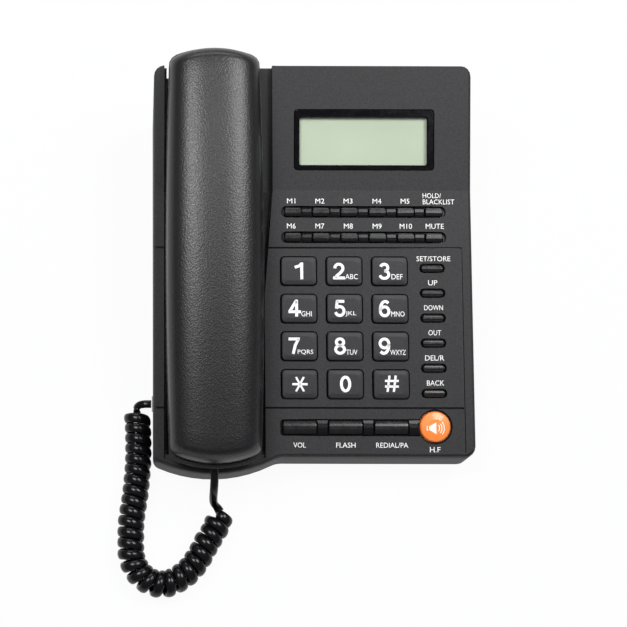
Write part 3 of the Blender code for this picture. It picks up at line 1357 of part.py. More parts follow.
def line_socket():
    """Socket in the rear wall for the telephone line."""
    bm = bmesh.new()
    half = LINE_SOCKET_WIDTH / 2
    rear = BODY_DEPTH - BASE_SOCKET_INSET
    low_z = FLOOR_TOP + SEAT_GAP
    low = (LINE_SOCKET_X - half, rear - LINE_SOCKET_DEPTH, low_z)
    add_box(bm, low, (LINE_SOCKET_X + half, rear, low_z + LINE_SOCKET_HEIGHT))
    made = link("line_socket", mesh_from(bm, "line_socket", smooth=False), look="socket")
    bm = bmesh.new()
    wide = LINE_CAVITY_WIDTH / 2
    narrow = LINE_LATCH_WIDTH / 2
    middle = low_z + LINE_SOCKET_HEIGHT / 2
    top = middle + LINE_CAVITY_HEIGHT / 2
    bottom = middle - LINE_CAVITY_HEIGHT / 2
    side = [(-wide, bottom), (-narrow, bottom), (-narrow, bottom - LINE_LATCH_HEIGHT)]
    side += [(narrow, bottom - LINE_LATCH_HEIGHT), (narrow, bottom), (wide, bottom), (wide, top)]
    side += [(-wide, top)]
    front = [(LINE_SOCKET_X + x, rear - LINE_CAVITY_DEPTH, z) for x, z in side]
    back = [(LINE_SOCKET_X + x, rear + CUT_OVERRUN, z) for x, z in side]
    loft(bm, [front, back])
    boolean(made, cutter("line_socket_cavity", bm), "DIFFERENCE")


def hook_plunger(face, lid):
    """Switch plunger that the ear cap holds down, and its hole in the well's floor."""
    frame = empty("plunger_frame", face, (HANDSET_CENTRE_U, PLUNGER_V, WELL_BOTTOM_W))
    stem = rounded_rect(PLUNGER_WIDTH, PLUNGER_LENGTH, PLUNGER_RADIUS)
    tip_size = (PLUNGER_WIDTH - 2 * PLUNGER_CHAMFER, PLUNGER_LENGTH - 2 * PLUNGER_CHAMFER)
    tip = rounded_rect(*tip_size, PLUNGER_RADIUS - PLUNGER_CHAMFER / 2)
    grow = 2 * PLUNGER_FLANGE_MARGIN
    flange = rounded_rect(PLUNGER_WIDTH + grow, PLUNGER_LENGTH + grow, PLUNGER_RADIUS)
    seat = -CRADLE_WALL - SEAT_GAP - PLUNGER_TRAVEL
    bm = bmesh.new()
    loft(bm, [
        at_height(flange, seat - FLANGE_THICKNESS), at_height(flange, seat), at_height(stem, seat),
        at_height(stem, -PLUNGER_CHAMFER), at_height(tip, 0.0),
    ])
    link("hook_plunger", mesh_from(bm, "hook_plunger"), frame, look="socket")
    bm = bmesh.new()
    gap = 2 * KEY_GAP
    hole = rounded_rect(PLUNGER_WIDTH + gap, PLUNGER_LENGTH + gap, PLUNGER_RADIUS + KEY_GAP)
    add_prism(bm, hole, -CRADLE_WALL - PLUNGER_STEM, PLUNGER_STEM)
    boolean(lid, cutter("plunger_hole", bm, frame), "DIFFERENCE")


def half_width(share, inset):
    """Half width of the handset at a share of its length."""
    return HANDSET_END_WIDTH / 2 + HANDSET_SWELL / 2 * sin(pi * share) - inset


def crown_height(v):
    """Height of the outer shell over the split plane."""
    middle = (HANDSET_FRONT + HANDSET_REAR) / 2
    share = (v - middle) / (HANDSET_REAR - middle)
    return CROWN_HEIGHT - CROWN_FALL * share ** 2


def belly_depth(v):
    """Depth of the inner shell under the split plane: two caps and an arched grip."""
    if v <= MOUTH_CAP_REAR or v >= EAR_CAP_FRONT:
        return CAP_DEPTH
    into = min(v - MOUTH_CAP_REAR, EAR_CAP_FRONT - v) / CAP_RAMP
    middle = (EAR_CAP_FRONT - MOUTH_CAP_REAR) / 2
    grip = GRIP_DEPTH - GRIP_ARCH * min(v - MOUTH_CAP_REAR, EAR_CAP_FRONT - v) / middle
    if into >= 1:
        return grip
    blend = (1 - cos(pi * into)) / 2
    return CAP_DEPTH + (grip - CAP_DEPTH) * blend


def shell_points(front, rear, depth, sign, split, rows, end_round, power, inset):
    """Grid of points over one handset shell, from its front edge to its rear edge.

    rows are distances from the front edge; inset draws the grid in for the shell's inner side.
    """
    grid = []
    length = rear - front
    corner = HANDSET_CORNER_RADIUS
    for distance in rows:
        outer_v = front + distance
        centre_v = front + inset + distance * (length - 2 * inset) / length
        near = min(distance, length - distance)
        width = half_width(distance / length, inset)
        if near < corner:
            width -= corner * (1 - sqrt(1 - (1 - near / corner) ** 2))
        close = max(0.0, 1 - min(near / end_round, 1.0))
        end_share = sqrt(max(0.0, 1 - close ** 2))
        bulge = max(0.0, 1 - near / BULGE_REACH)
        if distance > length / 2:
            bulge = -bulge
        height = (depth(outer_v) - inset) * end_share
        line = []
        for i in range(SHELL_COLUMNS + 1):
            angle = pi * i / SHELL_COLUMNS
            across = -abs(cos(angle)) ** (2 / power) * (1 if cos(angle) > 0 else -1)
            up = max(0.0, sin(angle)) ** (2 / power)
            if i in (0, SHELL_COLUMNS):
                up = 0.0
            x = across * width
            v = centre_v + bulge * x * x / (2 * HANDSET_END_RADIUS)
            line.append((HANDSET_CENTRE_U + x, v, split + sign * height * up))
        grid.append(line)
    return grid


def shell_mesh(name, outer, inner):
    """Closed shell between an outer and an inner grid, joined by a flat rim."""
    bm = bmesh.new()
    rims = []
    for grid in (outer, inner):
        verts = [[bm.verts.new(point) for point in line] for line in grid]
        for line, following in zip(verts, verts[1:]):
            for i in range(len(line) - 1):
                bm.faces.new((line[i], line[i + 1], following[i + 1], following[i]))
        rim = list(verts[0])
        rim += [line[-1] for line in verts[1:-1]]
        rim += list(reversed(verts[-1]))
        rim += [line[0] for line in reversed(verts[1:-1])]
        rims.append(rim)
    count = len(rims[0])
    for i in range(count):
        j = (i + 1) % count
        bm.faces.new((rims[0][i], rims[0][j], rims[1][j], rims[1][i]))
    return mesh_from(bm, name)


def end_rows(length, end_round, middle_rows):
    """Row distances: close together at both ends, with the given rows between."""
    rows = [share * end_round for share in END_ROW_SHARES]
    rows += middle_rows
    rows += [length - share * end_round for share in reversed(END_ROW_SHARES)]
    return rows


def upper_shell_grids():
    """Outer and inner grid of the handset's crowned outer shell."""
    front = HANDSET_FRONT + UPPER_SHELL_LIP
    rear = HANDSET_REAR - UPPER_SHELL_REAR_LIP
    length = rear - front
    rows = end_rows(length, CROWN_END_ROUND, [share * length for share in CROWN_ROW_SHARES])
    split = SPLIT_W + SPLIT_GAP / 2
    shared = (crown_height, 1, split, rows, CROWN_END_ROUND, CROWN_POWER)
    outer = shell_points(front, rear, *shared, UPPER_SHELL_STEP)
    inner = shell_points(front, rear, *shared, UPPER_SHELL_STEP + SHELL_WALL)
    return outer, inner


def lower_shell_grids():
    """Outer and inner grid of the handset's inner shell with its two caps."""
    front = HANDSET_FRONT
    length = HANDSET_REAR - front
    ramp = [MOUTH_CAP_REAR - front + share * CAP_RAMP for share in RAMP_ROW_SHARES]
    ramp.append((MOUTH_CAP_REAR + EAR_CAP_FRONT) / 2 - front)
    ramp += [EAR_CAP_FRONT - front - share * CAP_RAMP for share in reversed(RAMP_ROW_SHARES)]
    rows = end_rows(length, CAP_END_ROUND, ramp)
    split = SPLIT_W - SPLIT_GAP / 2
    shared = (belly_depth, -1, split, rows, CAP_END_ROUND, CAP_POWER)
    outer = shell_points(front, HANDSET_REAR, *shared, 0.0)
    inner = shell_points(front, HANDSET_REAR, *shared, SHELL_WALL)
    return outer, inner


def handset(face):
    """Both shells of the handset and what they hold."""
    upper = shell_mesh("handset_upper_shell", *upper_shell_grids())
    link("handset_upper_shell", upper, face, look="handset")
    lower = link("handset_lower_shell", shell_mesh("handset_lower_shell", *lower_shell_grids()), face, look="handset")
    boolean(lower, jack_shelf(face), "UNION")
    boolean(lower, shell_holes(face), "DIFFERENCE")
    floor = CAP_BOTTOM_W + SHELL_WALL + SEAT_GAP
    bm = bmesh.new()
    add_turned(bm, RECEIVER_DOME_SHARES, RECEIVER_RADIUS, RECEIVER_HEIGHT, 20)
    mesh = mesh_from(bm, "earpiece_receiver")
    link("earpiece_receiver", mesh, face, (HANDSET_CENTRE_U, RECEIVER_V, floor), "steel")
    bm = bmesh.new()
    add_turned(bm, MICROPHONE_SHARES, MICROPHONE_RADIUS, MICROPHONE_HEIGHT, 14)
    mesh = mesh_from(bm, "handset_microphone")
    link("handset_microphone", mesh, face, (HANDSET_CENTRE_U, MICROPHONE_V, floor), "steel")
    bm = bmesh.new()
    size = (WEIGHT_WIDTH, WEIGHT_LENGTH)
    inset = 2 * WEIGHT_CHAMFER
    outline = rounded_rect(*size, WEIGHT_CHAMFER, 1)
    crest = rounded_rect(WEIGHT_WIDTH - inset, WEIGHT_LENGTH - inset, WEIGHT_CHAMFER, 1)
    loft(bm, [
        at_height(outline, 0.0), at_height(outline, WEIGHT_THICKNESS - WEIGHT_CHAMFER),
        at_height(crest, WEIGHT_THICKNESS),
    ])
    low = SPLIT_W - GRIP_DEPTH + GRIP_ARCH + SHELL_WALL + SEAT_GAP
    mesh = mesh_from(bm, "handset_weight", smooth=False)
    link("handset_weight", mesh, face, (HANDSET_CENTRE_U, WEIGHT_V, low), "steel")
    frame = empty("handset_jack_frame", face, (HANDSET_CENTRE_U, HANDSET_PLUG_FRONT, HANDSET_JACK_W))
    frame.rotation_euler = (-pi / 2, 0, 0)
    socket("handset_jack", frame, HANDSET_JACK_FRONT - HANDSET_PLUG_FRONT)
    plug("plug_handset_end", frame)


def jack_shelf(face):
    """Block on the mouth cap's floor that the cord socket stands on."""
    bm = bmesh.new()
    half = SHELF_POST_WIDTH / 2
    high = HANDSET_JACK_W - SOCKET_HEIGHT / 2 - SEAT_GAP
    front = HANDSET_FRONT + CAP_END_ROUND
    rear = HANDSET_PLUG_FRONT + SOCKET_DEPTH
    low = (HANDSET_CENTRE_U - half, front, CAP_BOTTOM_W + SHELL_WALL / 2)
    add_box(bm, low, (HANDSET_CENTRE_U + half, rear, high))
    return cutter("jack_shelf", bm, face)


def shell_holes(face):
    """Earpiece holes, mouthpiece slots and the way in for the cord's plug."""
    bm = bmesh.new()
    low = CAP_BOTTOM_W - CUT_OVERRUN / 2
    high = CAP_BOTTOM_W + SHELL_WALL + CUT_OVERRUN / 4
    for i in range(EAR_HOLE_COUNT):
        angle = 2 * pi * i / EAR_HOLE_COUNT
        place = (HANDSET_CENTRE_U + EAR_HOLE_RING * cos(angle), RECEIVER_V + EAR_HOLE_RING * sin(angle))
        add_prism(bm, circle(EAR_HOLE_RADIUS, 6, place), low, high)
    add_prism(bm, circle(EAR_HOLE_RADIUS, 6, (HANDSET_CENTRE_U, RECEIVER_V)), low, high)
    half = MOUTH_SLOT_LENGTH / 2
    for i in range(MOUTH_SLOT_COUNT):
        v = MICROPHONE_V + (i - (MOUTH_SLOT_COUNT - 1) / 2) * MOUTH_SLOT_PITCH
        corner = (HANDSET_CENTRE_U - half, v - MOUTH_SLOT_WIDTH / 2, low)
        add_box(bm, corner, (HANDSET_CENTRE_U + half, v + MOUTH_SLOT_WIDTH / 2, high))
    half_u = SOCKET_WIDTH / 2 - SOCKET_WALL / 2
    half_w = SOCKET_HEIGHT / 2 - SOCKET_WALL / 2
    corner = (HANDSET_CENTRE_U - half_u, HANDSET_FRONT - CUT_OVERRUN, HANDSET_JACK_W - half_w)
    add_box(bm, corner, (HANDSET_CENTRE_U + half_u, HANDSET_JACK_FRONT - SEAT_GAP, HANDSET_JACK_W + half_w))
    return cutter("shell_holes", bm, face)


def smooth_route(points, step):
    """Points about a step apart on a smooth curve through the given ones."""
    ends = [2 * points[0] - points[1]] + list(points) + [2 * points[-1] - points[-2]]
    route = [points[0]]
    for before, start, end, after in zip(ends, ends[1:], ends[2:], ends[3:]):
        count = max(1, ceil((end - start).length / step))
        for i in range(1, count + 1):
            t = i / count
            value = 2 * start + (end - before) * t
            value += (2 * before - 5 * start + 4 * end - after) * t ** 2
            value += (3 * start - before - 3 * end + after) * t ** 3
            route.append(value / 2)
    return route


def curl_points(axis):
    """Helix round an axis route, swelling from the axis at one end and closing at the other."""
    lengths = [0.0]
    for start, end in zip(axis, axis[1:]):
        lengths.append(lengths[-1] + (end - start).length)
    total = CORD_CURLS * CORD_CURL_POINTS
    ramp = CORD_RAMP_CURLS / CORD_CURLS
    points = []
    place = 0
    for i in range(total + 1):
        share = i / total
        along = share * lengths[-1]
        while place < len(axis) - 2 and lengths[place + 1] < along:
            place += 1
        part = (along - lengths[place]) / (lengths[place + 1] - lengths[place])
        centre = axis[place].lerp(axis[place + 1], part)
        ahead = axis[min(place + 2, len(axis) - 1)] - axis[max(place - 1, 0)]
        ahead.normalize()
        side = ahead.cross(Vector((0, 0, 1)))
        side.normalize()
        lift = side.cross(ahead)
        radius = CORD_CURL_RADIUS * min(1.0, share / ramp, (1 - share) / ramp)
        angle = 2 * pi * CORD_CURLS * share
        points.append(centre + radius * (cos(angle) * side + sin(angle) * lift))
    return points


def least_gap(points, diameter):
    """Least gap between stretches of the cord that aren't neighbours."""
    skip = ceil(CORD_CURL_POINTS / 2)
    least = None
    for i, point in enumerate(points):
        for other in points[i + skip:i + 2 * CORD_CURL_POINTS]:
            gap = (point - other).length - diameter
            if least is None or gap < least:
                least = gap
    return least


def handset_cord(front_y, face_matrix):
    """Curly cord from the handset's plug, over the desk, to the plug in the left wall."""
    shift = Vector((0, front_y, 0))
    step = 2 * CORD_RADIUS
    plug_end = face_matrix @ Vector((HANDSET_CENTRE_U, HANDSET_PLUG_FRONT - SEAT_GAP, HANDSET_JACK_W))
    out = face_matrix.to_3x3() @ Vector((0, -1, 0))
    lead = [plug_end, plug_end + out * step]
    lead += [Vector(point) + shift for point in CORD_HANDSET_LEAD]
    axis = smooth_route([Vector((x, y, CORD_AXIS_HEIGHT)) + shift for x, y in CORD_AXIS], step / 2)
    curls = curl_points(axis)
    base_x = -BODY_WIDTH / 2 - BASE_PLUG_PROUD - SEAT_GAP
    base_end = Vector((base_x, BASE_SOCKET_Y, BASE_SOCKET_Z)) + shift
    tail = [Vector(point) + shift for point in CORD_BASE_LEAD]
    tail += [base_end - Vector((step, 0, 0)), base_end]
    first = smooth_route(lead + [curls[0]], 2 * step)
    last = smooth_route([curls[-1]] + tail, 2 * step)
    points = first[:-1] + curls + last[1:]
    length = sum((end - start).length for start, end in zip(points, points[1:]))
    gap = least_gap(curls, 2 * CORD_RADIUS)
    print("handset cord: length %.4f m, least gap to itself %.5f m" % (length, gap))
    curve = bpy.data.curves.new("handset_cord", "CURVE")
    curve.dimensions = "3D"
    curve.bevel_depth = CORD_RADIUS
    curve.bevel_resolution = 1
    curve.use_fill_caps = True
    spline = curve.splines.new("POLY")
    spline.points.add(len(points) - 1)
    for target, point in zip(spline.points, points):
        target.co = (*point, 1.0)
    curve.materials.append(finish("cord"))
    made = bpy.data.objects.new("handset_cord", curve)
    bpy.context.scene.collection.objects.link(made)


def front_rim_place():
    """Place of the front rim on Y that puts the origin under the middle of the telephone."""
    tilt = Matrix.Rotation(FACE_SLOPE, 3, "X")
    reach = [0.0, BODY_DEPTH]
    for grid in upper_shell_grids() + lower_shell_grids():
        for line in grid:
            reach += [(tilt @ Vector(point)).y for point in line]
    return -(min(reach) + max(reach)) / 2


def build():
    """Build every piece, then set the telephone over the origin."""
    clear_scene()
    front_y = front_rim_place()
    root = empty("telephone", None, (0, front_y, 0))
    face = empty("face_frame", None, (0, 0, RIM_HEIGHT), FACE_SLOPE)
    display = empty("display_frame", face, (0, CREASE_REACH, 0), DISPLAY_BEND)
    lid = upper_housing(face, display)
    hook_plunger(face, lid)
    display_parts(display)
    keys(face)
    keypad_mat(face)
    main_board(face)
    lower_housing()
    feet()
    speaker()
    base_socket()
    line_socket()
    handset(face)
    for obj in bpy.context.scene.collection.objects:
        if obj.parent is None and obj is not root:
            obj.parent = root
    bpy.context.view_layer.update()
    handset_cord(front_y, face.matrix_world)


build()
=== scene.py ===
"""Dress a corded desk telephone: finishes, lettering, curly cord, screws, floor, lamps and camera."""
import json
from math import ceil, cos, hypot, pi, radians, sin, sqrt, tan

import bmesh
import bpy
from bpy.props import FloatProperty, FloatVectorProperty, IntProperty, PointerProperty
from mathutils import Matrix, Vector


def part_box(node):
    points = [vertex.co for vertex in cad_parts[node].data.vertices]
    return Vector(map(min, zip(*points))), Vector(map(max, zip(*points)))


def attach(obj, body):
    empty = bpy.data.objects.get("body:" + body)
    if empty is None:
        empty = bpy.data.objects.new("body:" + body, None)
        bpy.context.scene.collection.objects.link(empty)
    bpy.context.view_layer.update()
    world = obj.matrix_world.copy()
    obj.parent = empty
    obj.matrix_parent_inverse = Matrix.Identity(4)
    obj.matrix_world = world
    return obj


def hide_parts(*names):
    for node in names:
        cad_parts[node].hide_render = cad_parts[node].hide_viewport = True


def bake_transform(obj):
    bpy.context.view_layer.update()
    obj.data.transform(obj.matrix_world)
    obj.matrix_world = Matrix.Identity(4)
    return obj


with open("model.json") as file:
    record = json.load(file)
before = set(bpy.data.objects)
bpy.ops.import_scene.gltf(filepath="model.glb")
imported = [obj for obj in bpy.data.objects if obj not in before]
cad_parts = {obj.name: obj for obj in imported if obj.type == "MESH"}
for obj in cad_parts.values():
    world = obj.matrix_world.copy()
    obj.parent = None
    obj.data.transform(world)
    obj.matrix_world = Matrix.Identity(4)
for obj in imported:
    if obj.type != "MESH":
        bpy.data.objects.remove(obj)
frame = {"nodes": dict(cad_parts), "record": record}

bl_info = {
    "name": "Corded telephone dressing",
    "version": (1, 0, 0),
    "blender": (4, 5, 0),
    "location": "3D View > Sidebar > Telephone",
    "description": "Adds finishes, lettering, a curly cord and a studio to the telephone's solids",
    "category": "Object",
}

# The face of the telephone, as its solids have it: it slopes up to a crease and more steeply behind it
FACE_SLOPE = radians(12.0)
DISPLAY_SLOPE = FACE_SLOPE + radians(5.5)
RIM_HEIGHT = 0.0220
CREASE_REACH = 0.1336
DISPLAY_REACH = 0.0634
CREASE_DEPTH = CREASE_REACH * cos(FACE_SLOPE)
BODY_DEPTH = CREASE_DEPTH + DISPLAY_REACH * cos(DISPLAY_SLOPE)
FRONT_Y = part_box("upper_housing")[1].y - BODY_DEPTH
FACE = Matrix.Translation((0, FRONT_Y, RIM_HEIGHT)) @ Matrix.Rotation(FACE_SLOPE, 4, "X")
FACE_MIDDLE_V = 0.0712

# Over this range of the face, surfaces deeper than the face are painted dark and glossy: the trough
# lands as glossy black plastic like the keys, and hole walls, key gaps, grooves and the cradle as
# painted shade.
# The dial keys' sides below their shoulders get the same painted shade
RECESS_HALF_WIDTH = 0.0783
RECESS_FRONT = 0.0008
RECESS_REAR = 0.1332
# Painted shade colour for the face's hollows, which is also the trough lands' own black
RECESS_SHADE_COLOUR = (0.004, 0.004, 0.005, 1.0)
RECESS_ROUGHNESS = (0.25, 0.25, 0.25, 1.0)
HOUSING_RECESS_DEPTH = 0.0002
DIAL_KEY_SHOULDER = 0.0012

# Route of the handset cord, from under the front rim, as its solid has it
CORD_HANDSET_LEAD = (
    (-0.0501, -0.01250, 0.02530), (-0.0502, -0.01680, 0.02130), (-0.0502, -0.01960, 0.01560),
    (-0.0496, -0.02140, 0.01060), (-0.0478, -0.02320, 0.00790),
)
CORD_AXIS = (
    (-0.0460, -0.0260), (-0.0492, -0.0340), (-0.0531, -0.0400), (-0.0567, -0.0467),
    (-0.0617, -0.0536), (-0.0680, -0.0584), (-0.0742, -0.0607), (-0.0811, -0.0597),
    (-0.0872, -0.0550), (-0.0906, -0.0475), (-0.0910, -0.0385), (-0.0909, -0.0308),
    (-0.0900, -0.0238), (-0.0889, -0.0167), (-0.0880, -0.0075), (-0.0875, -0.0003),
    (-0.0874, 0.0083), (-0.0876, 0.0170), (-0.0880, 0.0225), (-0.0884, 0.0256),
)
CORD_BASE_LEAD = ((-0.0885, 0.0277, 0.0073), (-0.0869, 0.0291, 0.0086), (-0.0848, 0.0293, 0.0099))
CORD_AXIS_HEIGHT = 0.0070
CORD_CURLS = 27
CORD_CURL_RADIUS = 0.00545
CORD_RAMP_CURLS = 0.5
CORD_HANDSET_END = (-0.0501, -0.0043, 0.0062)
CORD_BASE_END = (-0.0809, 0.0293, 0.0102)

# Straight stub at each plug, distance between points, share of the width on the leads, and passes that
# even the width out
CORD_STUB = 0.0024
CORD_STEP = 0.0012
CORD_LEAD_WIDTH = 0.8
CORD_WIDTH_PASSES = 12

# Outer shell of the handset, as its solid has it, over the split between the shells
SHELL_CENTRE_U = -0.0501
SHELL_FRONT = -0.0037
SHELL_REAR = 0.2022
SHELL_SPLIT = 0.01445
SHELL_END_WIDTH = 0.0450
SHELL_SWELL = 0.0036
SHELL_STEP = 0.0004
SHELL_WALL = 0.0022
SHELL_CORNER = 0.0036
SHELL_END_CURVE = 0.0500
SHELL_HEIGHT = 0.0157
SHELL_FALL = 0.0026
SHELL_END_ROUND = 0.0075
SHELL_POWER = 2.7
SHELL_ROWS = 30
SHELL_END_ROWS = 10
SHELL_COLUMNS = 40

# Pads of the dial keys: middles on the face, half sizes, and heights of a crown inside a flat edge
DIAL_COLUMNS = (-0.0073, 0.01545, 0.0382)
DIAL_ROWS = (0.0925, 0.07363, 0.05476, 0.03589)
PAD_HALF_WIDTH = 0.0089
PAD_HALF_DEPTH = 0.0071
PAD_EDGE = 0.0005
PAD_SLOPE = 0.0017
PAD_HEIGHT = 0.0015
PAD_CROWN = 0.0003

# Round key: middle on the face, top, and the fall of its dome outside a flat middle
ROUND_KEY_U = 0.0598
ROUND_KEY_V = 0.0149
ROUND_KEY_HEIGHT = 0.0016
ROUND_KEY_FALL = 0.0006
ROUND_KEY_FLAT = 0.00375
ROUND_KEY_SLOPE = 0.00315

# Loudspeaker sign on the round key, in millimetres from its own middle
SIGN_MIDDLE = (0.0593, 0.0142)
SIGN_BODIES = (
    ((-4.0, -1.1), (-2.4, -1.1), (-2.4, 1.1), (-4.0, 1.1)),
    ((-2.3, -1.1), (0.7, -2.9), (0.7, 2.9), (-2.3, 1.1)),
)
SIGN_WAVES = (2.1, 3.3, 4.5)
SIGN_WAVE_WIDTH = 0.4

# Thickness of printed marks, how deep they reach into what they lie on, and distance of welded points
KEY_INK = 0.00005
FACE_INK = 0.00004
INK_SINK = 0.00001
WELD = 0.000002

# Marks of the dial keys: column, row, then figure and letters with their left, right, low and high
# edges on the face in millimetres
DIAL_MARKS = {
    "1": (0, 0, "1", (-9.8, -5.2, 88.2, 96.6), None, None),
    "2": (1, 0, "2", (9.7, 15.6, 88.2, 96.6), "ABC", (15.8, 22.1, 88.3, 90.9)),
    "3": (2, 0, "3", (32.6, 38.3, 88.1, 96.6), "DEF", (38.9, 44.5, 88.3, 90.9)),
    "4": (0, 1, "4", (-12.7, -6.5, 69.5, 77.9), "GHI", (-6.3, -1.1, 69.6, 72.2)),
    "5": (1, 1, "5", (10.2, 15.7, 69.4, 77.9), "JKL", (15.7, 21.1, 69.6, 72.2)),
    "6": (2, 1, "6", (32.4, 38.1, 69.3, 77.9), "MNO", (38.5, 45.2, 69.6, 72.2)),
    "7": (0, 2, "7", (-12.8, -7.1, 50.7, 59.0), "PQRS", (-8.3, -0.5, 50.5, 53.0)),
    "8": (1, 2, "8", (9.9, 15.7, 50.5, 59.1), "TUV", (15.8, 21.4, 50.5, 53.0)),
    "9": (2, 2, "9", (32.0, 37.8, 50.5, 59.1), "WXYZ", (37.7, 45.5, 50.5, 53.0)),
    "star": (0, 3, "*", (-11.1, -3.5, 32.1, 39.5), None, None),
    "0": (1, 3, "0", (12.5, 18.1, 31.8, 40.1), None, None),
    "hash": (2, 3, "#", (34.9, 41.7, 32.1, 40.2), None, None),
}

# Strokes of the figures: middle lines in shares of the figure's box, less half a stroke all round.
# An arc is middle, radii, first and last angle in degrees; a line is its points.
FIGURE_STROKES = {
    "0": (("arc", (0.5, 0.5), (0.5, 0.5), 0, 360),),
    "1": (("line", (1, -0.2), (1, 1.2)), ("line", (0.9, 1.0), (0.6, 0.86), (-0.1, 0.76))),
    "2": (
        ("arc", (0.5, 0.7), (0.46, 0.3), 180, -40),
        ("line", (0.86, 0.52), (0.6, 0.33), (0.25, 0.15), (0.08, 0)), ("line", (-0.2, 0), (1.2, 0)),
    ),
    "3": (
        ("arc", (0.48, 0.76), (0.42, 0.24), 165, -90), ("arc", (0.48, 0.26), (0.52, 0.27), 90, -170),
    ),
    "4": (
        ("line", (0.7, -0.2), (0.7, 1.2)), ("line", (-0.2, 0.24), (1.2, 0.24)),
        ("line", (0.66, 1.02), (0.0, 0.3)),
    ),
    "5": (
        ("line", (1.05, 1), (0.1, 1)), ("line", (0.2, 1.05), (0.06, 0.48)),
        ("arc", (0.47, 0.31), (0.53, 0.32), 142, -165),
    ),
    "6": (
        ("arc", (0.5, 0.31), (0.5, 0.31), 0, 360), ("arc", (0.58, 0.42), (0.58, 0.58), 190, 52),
    ),
    "7": (
        ("line", (-0.2, 1), (1.15, 1)), ("line", (1.0, 1.0), (0.6, 0.52), (0.36, -0.1), (0.34, -0.2)),
    ),
    "8": (("arc", (0.5, 0.77), (0.42, 0.23), 0, 360), ("arc", (0.5, 0.27), (0.5, 0.27), 0, 360)),
    "9": (
        ("arc", (0.5, 0.69), (0.5, 0.31), 0, 360), ("arc", (0.42, 0.58), (0.58, 0.58), 10, -128),
    ),
    "*": (
        ("line", (-0.12, 0.5), (1.12, 0.5)), ("line", (0.2, -0.12), (0.8, 1.12)),
        ("line", (0.2, 1.12), (0.8, -0.12)),
    ),
    "#": (
        ("line", (-0.15, 0.7), (1.15, 0.7)), ("line", (-0.15, 0.3), (1.15, 0.3)),
        ("line", (0.12, -0.1), (0.3, 1.1)), ("line", (0.66, -0.1), (0.84, 1.1)),
    ),
}
FIGURE_STROKE = 1.45
STAR_STROKE = 1.1
ARC_STEP = 15

# Words printed on the face, with their left, right, low and high edges in millimetres
FACE_WORDS = (
    ("M1", -12.8, -8.6, 126.9, 129.4), ("M2", 1.5, 6.0, 126.9, 129.4), ("M3", 15.7, 20.2, 126.9, 129.4),
    ("M4", 30.3, 34.7, 126.9, 129.4), ("M5", 44.5, 48.9, 126.9, 129.4),
    ("HOLD/", 55.6, 64.8, 129.8, 132.2), ("BLACKLIST", 55.6, 71.5, 126.6, 129.1),
    ("M6", -12.9, -8.5, 114.1, 116.7), ("M7", 1.4, 5.9, 114.1, 116.7), ("M8", 15.7, 20.2, 114.1, 116.7),
    ("M9", 30.2, 34.7, 114.1, 116.7), ("M10", 43.8, 50.0, 114.1, 116.7),
    ("MUTE", 56.9, 66.0, 114.1, 116.7), ("SET/STORE", 52.0, 68.9, 97.7, 100.2),
    ("UP", 57.6, 62.2, 85.5, 88.1), ("DOWN", 55.4, 64.8, 73.0, 75.5), ("OUT", 57.3, 63.6, 60.4, 63.0),
    ("DEL/R", 55.4, 64.9, 47.8, 50.4), ("BACK", 56.1, 64.7, 35.3, 37.9),
    ("VOL", -10.6, -4.4, 4.5, 7.0), ("FLASH", 10.6, 20.2, 4.5, 7.0),
    ("REDIAL/PA", 30.4, 46.3, 4.5, 7.0), ("H.F", 57.0, 62.2, 2.3, 4.9),
)

# Screws that hold the housing's halves together, by plan place behind the front rim. The profile is
# radius and height over the head's seat; the cross in the head has a reach, a waist and a floor
SCREWS = ((0.0736, 0.0135), (0.0736, 0.1780), (-0.0700, 0.0750), (-0.0700, 0.1380))
SCREW_SEAT_DEPTH = 0.01405
SCREW_PROFILE = (
    (0.0013, -0.0013), (0.0019, -0.0010), (0.0021, -0.0005), (0.0021, 0.0), (0.0011, 0.0),
    (0.0011, 0.0062), (0.0004, 0.0070),
)
CROSS_REACH = 0.0011
CROSS_WAIST = 0.00035
CROSS_TAPER = 0.8
CROSS_FLOOR = -0.00044

# Soft boxes: place, and width and height
LAMPS = {
    "key_lamp": ((0.40, 0.20, 0.95), (0.42, 0.42)),
    "fill_lamp": ((-0.40, 0.10, 0.95), (0.30, 0.40)),
    "rear_lamp": ((-0.05, 0.95, 0.62), (1.00, 0.30)),
}

# Camera: width of its sensor in millimetres, focal length as a share of that, and roll
SENSOR_WIDTH = 36.0
FOCAL_SHARE = 1300 / 627
CAMERA_ROLL = radians(0.15)

# Floor: half its side, and the share of its white that doesn't depend on the lamps
FLOOR_HALF = 3.0
FLOOR_GLOW = 0.96

# Sockets of a colour mix
MIX_FIRST = 6
MIX_SECOND = 7
MIX_RESULT = 2


def place_on_desk(point):
    """Turn a point measured from under the front rim into one of the telephone's frame."""
    return Vector(point) + Vector((0, FRONT_Y, 0))


def top_height(depth):
    """Height of the housing's top over the desk, at a depth behind the front rim."""
    behind = max(0.0, depth - CREASE_DEPTH)
    return RIM_HEIGHT + (depth - behind) * tan(FACE_SLOPE) + behind * tan(DISPLAY_SLOPE)


# Finishes

def start_material(name, colour, roughness):
    """Return a new material, its node tree and its shader."""
    made = bpy.data.materials.new(name)
    made.use_nodes = True
    tree = made.node_tree
    shader = tree.nodes["Principled BSDF"]
    shader.inputs["Base Color"].default_value = (*colour, 1.0)
    shader.inputs["Roughness"].default_value = roughness
    return made, tree, shader


def node(tree, kind, **settings):
    """Add a node and set its attributes."""
    made = tree.nodes.new(kind)
    for key, value in settings.items():
        setattr(made, key, value)
    return made


